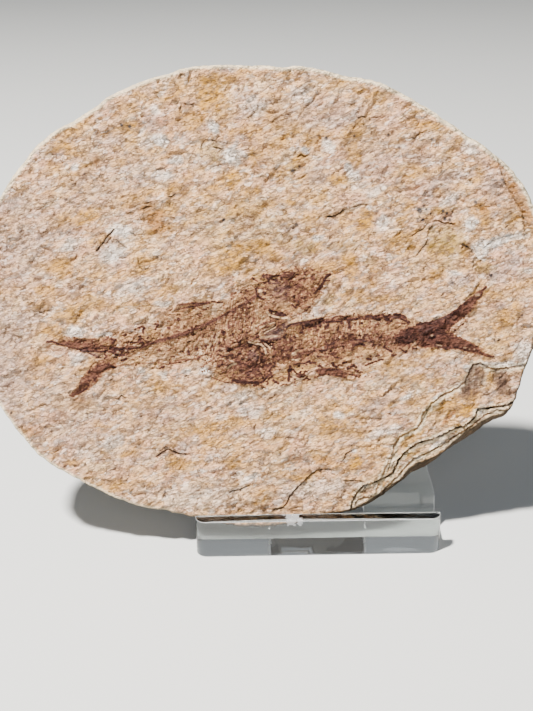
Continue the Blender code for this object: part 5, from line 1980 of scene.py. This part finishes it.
# Films on the stone, from broad to fine: size in mm, how steeply each leans, and the step
# between one and the next.
FILMS = ((2.2, 0.60, 0.46), (0.95, 1.08, 0.36), (0.45, 1.22, 0.28))
FILM_BEND = 1.9  # how far a film's edge wanders, in sizes
GRIT = 0.34
STONE = (0.77, 0.450, 0.220)
STONE_PINK = (0.70, 0.380, 0.235)
# cream tone, and painted highlight on films that lean towards the light
STONE_CREAM_AND_HIGHLIGHT = (0.96, 0.69, 0.41)
STONE_SHADE = (0.20, 0.115, 0.06)
PATCH_COLOURS = {
    "mauve": (0.49, 0.350, 0.305),
    "olive": (0.40, 0.25, 0.06),
    "ochre": (0.53, 0.255, 0.034),
    "rust": (0.32, 0.115, 0.03),
    "pale": (0.92, 0.82, 0.74),
}
STAIN_COLOUR = (0.120, 0.064, 0.042)
# fresh broken stone, and painted highlight on the rim that faces the light
FRESH_AND_LIT_STONE = (0.95, 0.79, 0.53)
# painted shade on the edge that faces away from the light
EDGE_SHADE_COLOUR = (0.062, 0.040, 0.022)
# painted shade in open cracks and painted shadow under the ledges' steps
CRACK_SHADE_COLOUR = (0.030, 0.018, 0.010)
SPECK_COLOUR = (0.030, 0.032, 0.040)
FLESH = (0.50, 0.27, 0.105)
BONE_TAN = (0.285, 0.135, 0.060)
BONE_RED = (0.138, 0.053, 0.032)
BONE_BROWN = (0.076, 0.026, 0.017)
BONE_BLACK = (0.036, 0.011, 0.008)
FILM_GREY = (0.105, 0.060, 0.058)
# pale rock between the rays, and painted highlight along ridges
RIDGE_PALE_AND_HIGHLIGHT = (0.64, 0.42, 0.25)
# How dark the bone is, and its colour there.
BONE_STOPS = ((0.26, BONE_TAN), (0.46, BONE_RED), (0.62, BONE_BROWN), (0.86, BONE_BLACK))
FRESH_AND_LIT_SHARE = 0.8
STONE_ROUGH = 0.88
STONE_SPECULAR = 0.25
BONE_ROUGH = 0.70
BONE_SPECULAR = 0.16
FLOOR_GREY = (0.50, 0.51, 0.51)
FLOOR_ROUGH = 0.8
CLEAR_TINT = (0.93, 0.96, 0.95)
# whitish rubbed acrylic of the smear, and painted highlight on the rounded edges
RUBBED_AND_HIGHLIGHT_TINT = (0.92, 0.93, 0.96)
ACRYLIC_IOR = 1.49


def grain_space(made):
    """Object coordinates in millimetres, turned and drawn out along the stone's grain."""
    object_space = made.add("TexCoord").outputs["Object"]
    turned = made.add("Mapping", {"Vector": object_space, "Scale": (1000.0, 1000.0, 1000.0)})
    turned.inputs["Rotation"].default_value = (0.0, FILM_ANGLE, 0.0)
    stretched = made.vector("MULTIPLY", turned.outputs[0], (1 / FILM_STRETCH, 1.0, 1.0))
    return turned.outputs[0], stretched


def facets(made, space, size, tilt, step):
    """Broken films about this size: each one's height in mm, its own shade and its rim.

    Every film leans its own way and stands a little above or below the next.
    """
    bend = made.add("TexNoise", {"Vector": space, "Scale": 0.8 / size, "Detail": 4.0})
    bend = made.vector("SUBTRACT", bend.outputs["Color"], (0.5, 0.5, 0.5))
    bent = made.vector("ADD", space, made.vector("SCALE", bend, scale=FILM_BEND * size))
    cells = made.add("TexVoronoi", {"Vector": bent, "Scale": 1 / size})
    own = made.vector("SUBTRACT", cells.outputs["Color"], (0.5, 0.5, 0.5))
    from_middle = made.vector("SUBTRACT", bent, cells.outputs["Position"])
    lean = made.vector("DOT_PRODUCT", from_middle, made.vector("SCALE", own, scale=2 * tilt))
    parts = made.add("SeparateXYZ", {"Vector": cells.outputs["Color"]})
    height = made.math("ADD", lean, made.math("MULTIPLY", parts.outputs["Z"], step))
    rim = made.add("TexVoronoi", {"Vector": bent, "Scale": 1 / size}, feature="DISTANCE_TO_EDGE")
    return height, parts.outputs["X"], parts.outputs["Y"], rim.outputs["Distance"]


def stone_look(made):
    """The stone's colour before marks, its normal, and its plain space.

    Films of three sizes carry both the relief and the mottling, so that the two agree: films that lean
    towards the light are painted cream and those that lean away darker, as painted highlight and shade
    over the stone's own tones, and the crevices at their rims get painted shade.
    """
    plain, drawn = grain_space(made)
    broad, middle, fine = (facets(made, drawn, *film) for film in FILMS)
    colour = STONE
    # What each layer follows, where it starts and is full, its most share and its colour.
    for value, low, high, most, paint in (
        (made.noise(plain, 0.09, 4.0, 0.6), 0.38, 0.62, 1.0, STONE_PINK),
        (made.noise(drawn, 0.22, 4.0, 0.6), 0.50, 0.64, 0.66, PATCH_COLOURS["mauve"]),
        # cream on films that lean towards the light: painted highlight over the stone's cream
        (broad[1], 0.62, 1.0, 0.46, STONE_CREAM_AND_HIGHLIGHT),
        (middle[2], 0.62, 0.95, 0.42, PATCH_COLOURS["pale"]),
        (middle[1], 0.32, 0.0, 0.35, PATCH_COLOURS["ochre"]),
        (made.noise(drawn, 0.20, 5.0, 0.62), 0.48, 0.66, 0.78, PATCH_COLOURS["ochre"]),
    ):
        colour = made.mix(made.spread(value, low, high, 0.0, most), colour, paint)
    wander = made.spread(made.noise(drawn, 0.8, 5.0, 0.6), 0.32, 0.58, 0.78, 1.30)
    wander = made.math("MULTIPLY", wander, made.spread(middle[1], 0.0, 1.0, 0.85, 1.15))
    for kind, paint in PATCH_COLOURS.items():
        share = made.math("MULTIPLY", made.attribute(kind), wander, clamp=True)
        colour = made.mix(share, colour, paint)
    open_rims = made.spread(made.noise(drawn, 0.9, 3.0), 0.46, 0.56, 0.0, 0.85)
    colour = made.painted(
        colour,
        # darker films at random, painted shade on films that lean away from the light, and painted shade
        # in the crevices at the films' rims
        (made.spread(broad[2], 0.32, 0.0, 0.0, 0.26), STONE_SHADE),
        (made.spread(fine[1], 0.36, 0.0, 0.0, 0.50), STONE_SHADE),
        (made.math("MULTIPLY", made.spread(middle[3], 0.14, 0.03), open_rims), STONE_SHADE),
    )

    height = made.math("MULTIPLY", made.noise(plain, 2.6, 4.0, 0.7), GRIT)
    for film in (broad, middle, fine):
        height = made.math("ADD", height, film[0])
    return colour, made.bump(height, MM), plain


def stone_material():
    made = Nodes("split_limestone")
    colour, normal, plain = stone_look(made)
    seams = made.add("SeparateXYZ", {"Vector": plain}).outputs["Y"]
    seams = made.add("CombineXYZ", {"X": made.math("MULTIPLY", seams, 1.6), "Y": 0.0, "Z": 0.0})
    seams = made.spread(made.noise(seams.outputs[0], 1.0, 5.0, 0.7), 0.40, 0.62, 0.90, 1.0)
    colour = made.painted(
        colour,
        # fresh stone, partly a painted highlight on the lit rim
        (made.math("MULTIPLY", made.attribute("fresh_and_lit"), FRESH_AND_LIT_SHARE), FRESH_AND_LIT_STONE),
        (made.attribute("stain"), STAIN_COLOUR),
        # painted shade on the lower right edge, broken up by the layers' seams
        (made.math("MULTIPLY", made.attribute("edge_shade"), seams), EDGE_SHADE_COLOUR),
        # painted shade in the cracks and painted shadow at the ledges' feet
        (made.attribute("crack_shade"), CRACK_SHADE_COLOUR),
        (made.attribute("speck"), SPECK_COLOUR),
    )
    return made.finish(colour, normal, STONE_ROUGH, STONE_SPECULAR)


def fish_material():
    made = Nodes("fossil_fish")
    colour, normal, plain = stone_look(made)
    bone = made.attribute("bone")
    grit = made.spread(made.noise(plain, 2.4, 4.0, 0.7), 0.3, 0.7, -0.16, 0.16)
    grit = made.math("MULTIPLY", grit, made.spread(bone, 0.0, 0.3))
    shown = made.math("ADD", bone, grit, clamp=True)
    ramp = made.add("ValToRGB", {"Fac": shown})
    ramp.color_ramp.elements.remove(ramp.color_ramp.elements[1])
    ramp.color_ramp.elements[0].color = (*FLESH, 1.0)
    for position, paint in BONE_STOPS:
        ramp.color_ramp.elements.new(position).color = (*paint, 1.0)
    redder = made.math("MULTIPLY", made.attribute("red"), 0.6)
    dark = made.mix(redder, ramp.outputs["Color"], BONE_RED)
    colour = made.painted(
        colour,
        (made.math("MULTIPLY", made.attribute("tan"), 0.7), FLESH),
        (made.spread(shown, 0.02, 0.26), dark),
        (made.math("MULTIPLY", made.attribute("film"), 0.75), FILM_GREY),
        # pale rock, and painted highlight along ridges
        (made.attribute("light"), RIDGE_PALE_AND_HIGHLIGHT),
    )
    rough_bone = made.spread(shown, 0.2, 0.9, STONE_ROUGH, BONE_ROUGH)
    return made.finish(colour, normal, rough_bone, BONE_SPECULAR)


def clear_material(name, least, most, clear, colour):
    """Acrylic between two roughnesses: polished and clear, or rubbed whitish, which on the rounded edges
    is a painted highlight.
    """
    made = Nodes(name)
    plain = made.add("TexCoord").outputs["Object"]
    smear = made.spread(made.noise(plain, 60.0, 5.0, 0.6), 0.45, 0.75, least, most)
    made.join(smear, made.shader.inputs["Roughness"])
    ripple = made.noise(plain, 240.0, 2.0, 0.5)
    made.join(made.bump(ripple, 0.00002), made.shader.inputs["Normal"])
    made.shader.inputs["Base Color"].default_value = (*colour, 1.0)
    made.shader.inputs["Transmission Weight"].default_value = clear
    made.shader.inputs["IOR"].default_value = ACRYLIC_IOR
    return made.material


def floor_material():
    made = Nodes("pale_floor")
    made.shader.inputs["Base Color"].default_value = (*FLOOR_GREY, 1.0)
    made.shader.inputs["Roughness"].default_value = FLOOR_ROUGH
    return made.material


# ------------------------------------------------------------ the easel

SLAB_SEAT = SHEET + GAP + SLAB_THICKNESS * math.cos(LEAN)
PANEL_FRONT = SLAB_SEAT + GAP
PANEL_ROOT = 3.0
SHELF_BACK = PANEL_FRONT + SHEET
SLOT_FRONT = PANEL_FRONT - SLOT_START
ARC_STEPS = 14
EDGE_ROUND = 0.35
EDGE_SEGMENTS = 3
EDGE_ANGLE = math.radians(40)  # between faces past which an edge is rounded


def arc(center, radius, start_deg, end_deg):
    """Points along an arc in plan, angles in degrees anticlockwise from +X."""
    angles = np.radians(np.linspace(start_deg, end_deg, ARC_STEPS + 1))
    return [(center[0] + radius * math.cos(a), center[1] + radius * math.sin(a)) for a in angles]


def mirrored(half):
    """A closed outline from its right half, which runs from the middle line to it."""
    return half + [(-x, y) for x, y in reversed(half)]


def base_outline():
    half, foot = EASEL_WIDTH / 2, WINDOW_WIDTH / 2 - KERF
    return mirrored(
        arc((half - CORNER_RADIUS, CORNER_RADIUS), CORNER_RADIUS, -90, 0)
        + [(half, SHELF_BACK), (WINDOW_WIDTH / 2, SHELF_BACK)]
        + [(WINDOW_WIDTH / 2, SLOT_FRONT), (foot, SLOT_FRONT)]
        + arc((foot - FOOT_RADIUS, FOOT_END - FOOT_RADIUS), FOOT_RADIUS, 0, 90)
    )


def panel_outline():
    half = EASEL_WIDTH / 2
    top_half = half - (PANEL_HEIGHT - LIP_HEIGHT / 2) * math.tan(PANEL_TAPER)
    corner = (top_half - PANEL_TOP_RADIUS, PANEL_HEIGHT - PANEL_TOP_RADIUS)
    return mirrored(
        arc((WINDOW_WIDTH / 2 - FOOT_RADIUS, WINDOW_HEIGHT - FOOT_RADIUS), FOOT_RADIUS, 90, 0)
        + [(WINDOW_WIDTH / 2, -PANEL_ROOT), (half, -PANEL_ROOT), (half, LIP_HEIGHT / 2)]
        + arc(corner, PANEL_TOP_RADIUS, math.degrees(PANEL_TAPER), 90)
    )


def plate(name, outline, thickness):
    """A flat outline in XY, extruded up Z by its thickness, in metres."""
    bm = bmesh.new()
    face = bm.faces.new([bm.verts.new((x * MM, y * MM, 0.0)) for x, y in outline])
    made = bmesh.ops.extrude_face_region(bm, geom=[face])
    raised = [item for item in made["geom"] if isinstance(item, bmesh.types.BMVert)]
    bmesh.ops.translate(bm, verts=raised, vec=(0.0, 0.0, thickness * MM))
    bmesh.ops.recalc_face_normals(bm, faces=bm.faces)
    mesh = bpy.data.meshes.new(name)
    bm.to_mesh(mesh)
    bm.free()
    return linked(name, mesh)


SMEAR_LOW = (-10.9, -0.1, 8.2)  # corners of the box on the easel that holds the smear
SMEAR_HIGH = (-4.4, 4.3, 12.1)
SMEAR_CELL = 0.36
SMEAR_FRONT = 0.8  # of the lip's front, from its top, that it covers in full
SMEAR_LIMIT = 0.46


def smear_faces(bm):
    low, high = np.array(SMEAR_LOW) * MM, np.array(SMEAR_HIGH) * MM
    middles = [(face, np.array(face.calc_center_median())) for face in bm.faces]
    return [face for face, at in middles if (low < at).all() and (at < high).all()]


def cut_across(bm, faces, axis, at):
    """Cut these faces along a plane across an axis, at this many mm."""
    point, normal = np.zeros(3), np.zeros(3)
    point[axis], normal[axis] = at * MM, 1.0
    parts = dict.fromkeys(part for face in faces for part in (face, *face.edges, *face.verts))
    bmesh.ops.bisect_plane(bm, geom=list(parts), plane_co=point, plane_no=normal, dist=1e-7)


def rub_smear(mesh):
    """Cut the lip finely where it is smeared, and mark a ragged patch there as rubbed."""
    bm = bmesh.new()
    bm.from_mesh(mesh)
    for axis, at in ((0, SMEAR_LOW[0]), (0, SMEAR_HIGH[0]), (2, SMEAR_LOW[2])):
        cut_across(bm, bm.faces, axis, at)
    for axis in range(3):
        for at in np.arange(SMEAR_LOW[axis] + SMEAR_CELL, SMEAR_HIGH[axis], SMEAR_CELL):
            cut_across(bm, smear_faces(bm), axis, at)
    middle = (SMEAR_LOW[0] + SMEAR_HIGH[0]) / 2
    half = (SMEAR_HIGH[0] - SMEAR_LOW[0]) / 2
    for face in smear_faces(bm):
        x, y, z = face.calc_center_median() / MM
        uneven = blotches(np.array([[x, y - z]]), "smear")[0]
        below = max(0.0, LIP_HEIGHT - SMEAR_FRONT - z)
        if 0.8 * ((x - middle) / half) ** 2 + 0.60 * below + uneven < SMEAR_LIMIT:
            face.material_index = 1
    bm.to_mesh(mesh)
    bm.free()


def build_easel():
    """The clear easel with rounder arcs and softer edges than its CAD solid has."""
    easel = plate("clear_easel", base_outline(), LIP_HEIGHT)
    clear = clear_material("clear_acrylic", 0.02, 0.10, 1.0, CLEAR_TINT)
    rubbed_and_highlight = clear_material("rubbed_and_highlight_acrylic", 0.25, 0.55, 0.78, RUBBED_AND_HIGHLIGHT_TINT)
    for finish in (clear, rubbed_and_highlight):
        easel.data.materials.append(finish)
    bpy.ops.mesh.primitive_cube_add(size=1.0)
    seat = bpy.context.object
    seat.scale = (2 * EASEL_WIDTH * MM, 2 * FOOT_END * MM, 2 * LIP_HEIGHT * MM)
    seat.location = (0.0, (SHEET + FOOT_END) * MM, (SHEET + LIP_HEIGHT) * MM)
    panel = plate("easel_panel", panel_outline(), SHEET)
    panel.rotation_euler.x = math.pi / 2 - LEAN
    panel.location = (0.0, (PANEL_FRONT + SHEET / math.cos(LEAN)) * MM, SHEET * MM)
    for other, operation in ((seat, "DIFFERENCE"), (panel, "UNION")):
        modifier = easel.modifiers.new(operation, "BOOLEAN")
        modifier.operation = operation
        modifier.object = other
    rounding = easel.modifiers.new("edges", "BEVEL")
    rounding.width = EDGE_ROUND * MM
    rounding.segments = EDGE_SEGMENTS
    # the rounded edges take the whitish rubbed finish: a painted highlight along them
    rounding.material = 1
    rounding.limit_method = "ANGLE"
    rounding.angle_limit = EDGE_ANGLE
    bpy.context.view_layer.update()
    graph = bpy.context.evaluated_depsgraph_get()
    easel.data = bpy.data.meshes.new_from_object(easel.evaluated_get(graph))
    easel.modifiers.clear()
    rub_smear(easel.data)
    for helper in (seat, panel):
        bpy.data.objects.remove(helper)
    shade_smooth(easel, EASEL_SHARP)
    easel.location = (EASEL_OFFSET * MM, -FOOT_END / 2 * MM, 0.0)
    return easel


# ------------------------------------------------------------ stage, light and camera

CAMERA_PLACE = (1.4, -342.85, 195.68)
CAMERA_DOWN = math.radians(22.43)
CAMERA_RIGHT = math.radians(0.11)
CAMERA_ROLL = math.radians(0.88)
LENS = 60.0
LONG_SIDE = 36.0
FLOOR_SIZE = 8.0  # from here down in metres
SKY_COLOUR = (0.86, 0.93, 1.0)
SKY_STRENGTH = 0.25
AIM = (0.0, 0.0, 0.07)
# Name, place, size, power and colour.
LIGHTS = (
    ("key", (-0.61, -0.47, 1.58), 0.15, 154.0, (1.0, 0.96, 0.90)),
    ("fill", (0.10, -1.50, 0.90), 0.80, 6.0, (0.94, 0.97, 1.0)),
)


def add_camera():
    data = bpy.data.cameras.new("camera")
    data.lens = LENS
    data.sensor_fit = "VERTICAL"
    data.sensor_height = LONG_SIDE
    camera = linked("camera", data)
    placed = Matrix.Translation(Vector(CAMERA_PLACE) * MM)
    turned = Matrix.Rotation(-CAMERA_RIGHT, 4, "Z")
    tilted = Matrix.Rotation(math.pi / 2 - CAMERA_DOWN, 4, "X")
    camera.matrix_world = placed @ turned @ tilted @ Matrix.Rotation(-CAMERA_ROLL, 4, "Z")
    bpy.context.scene.camera = camera


def add_light(name, spot, size, power, colour):
    data = bpy.data.lights.new(name, "AREA")
    data.shape = "DISK"
    data.size = size
    data.energy = power
    data.color = colour
    light = linked(name, data)
    light.location = spot
    light.rotation_euler = (Vector(AIM) - Vector(spot)).to_track_quat("-Z", "Y").to_euler()


def add_stage():
    bpy.ops.mesh.primitive_plane_add(size=FLOOR_SIZE)
    floor = bpy.context.object
    floor.name = "floor"
    floor.location.z = -AIR_UNDER * MM
    floor.data.materials.append(floor_material())
    floor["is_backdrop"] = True
    world = bpy.context.scene.world or bpy.data.worlds.new("world")
    bpy.context.scene.world = world
    world.use_nodes = True
    background = world.node_tree.nodes["Background"]
    background.inputs["Color"].default_value = (*SKY_COLOUR, 1.0)
    background.inputs["Strength"].default_value = SKY_STRENGTH
    for light in LIGHTS:
        add_light(*light)


# ------------------------------------------------------------ assembly


def main():
    add_camera()
    add_stage()
    slab = build_slab()
    fish = [build_fish(name) for name in FISH_OUTLINES]
    stone, bone = stone_material(), fish_material()
    slab.data.materials.append(stone)
    leaning = np.array(Matrix.Rotation(-LEAN, 3, "X"))
    corners = np.array([vert.co for vert in slab.data.vertices])
    lowest = (corners @ leaning.T)[:, 2].min()
    seat = (0.0, (SLAB_SEAT - FOOT_END / 2) * MM, (SHEET + CONTACT) * MM - lowest)
    for piece in (slab, *fish):
        piece.location = seat
        piece.rotation_euler.x = -LEAN
    for piece in fish:
        piece.data.materials.append(bone)
    easel = build_easel()
    nodes = ("slab", "fish_left", "fish_right", "easel")
    slots = ("stone", "bone", "bone", "clear_plastic")
    for piece, node, slot in zip((slab, *fish, easel), nodes, slots):
        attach(piece, "root")
        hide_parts(node)


main()
bounds = [[list(corner) for corner in box] for box in (cad_bounds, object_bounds())]
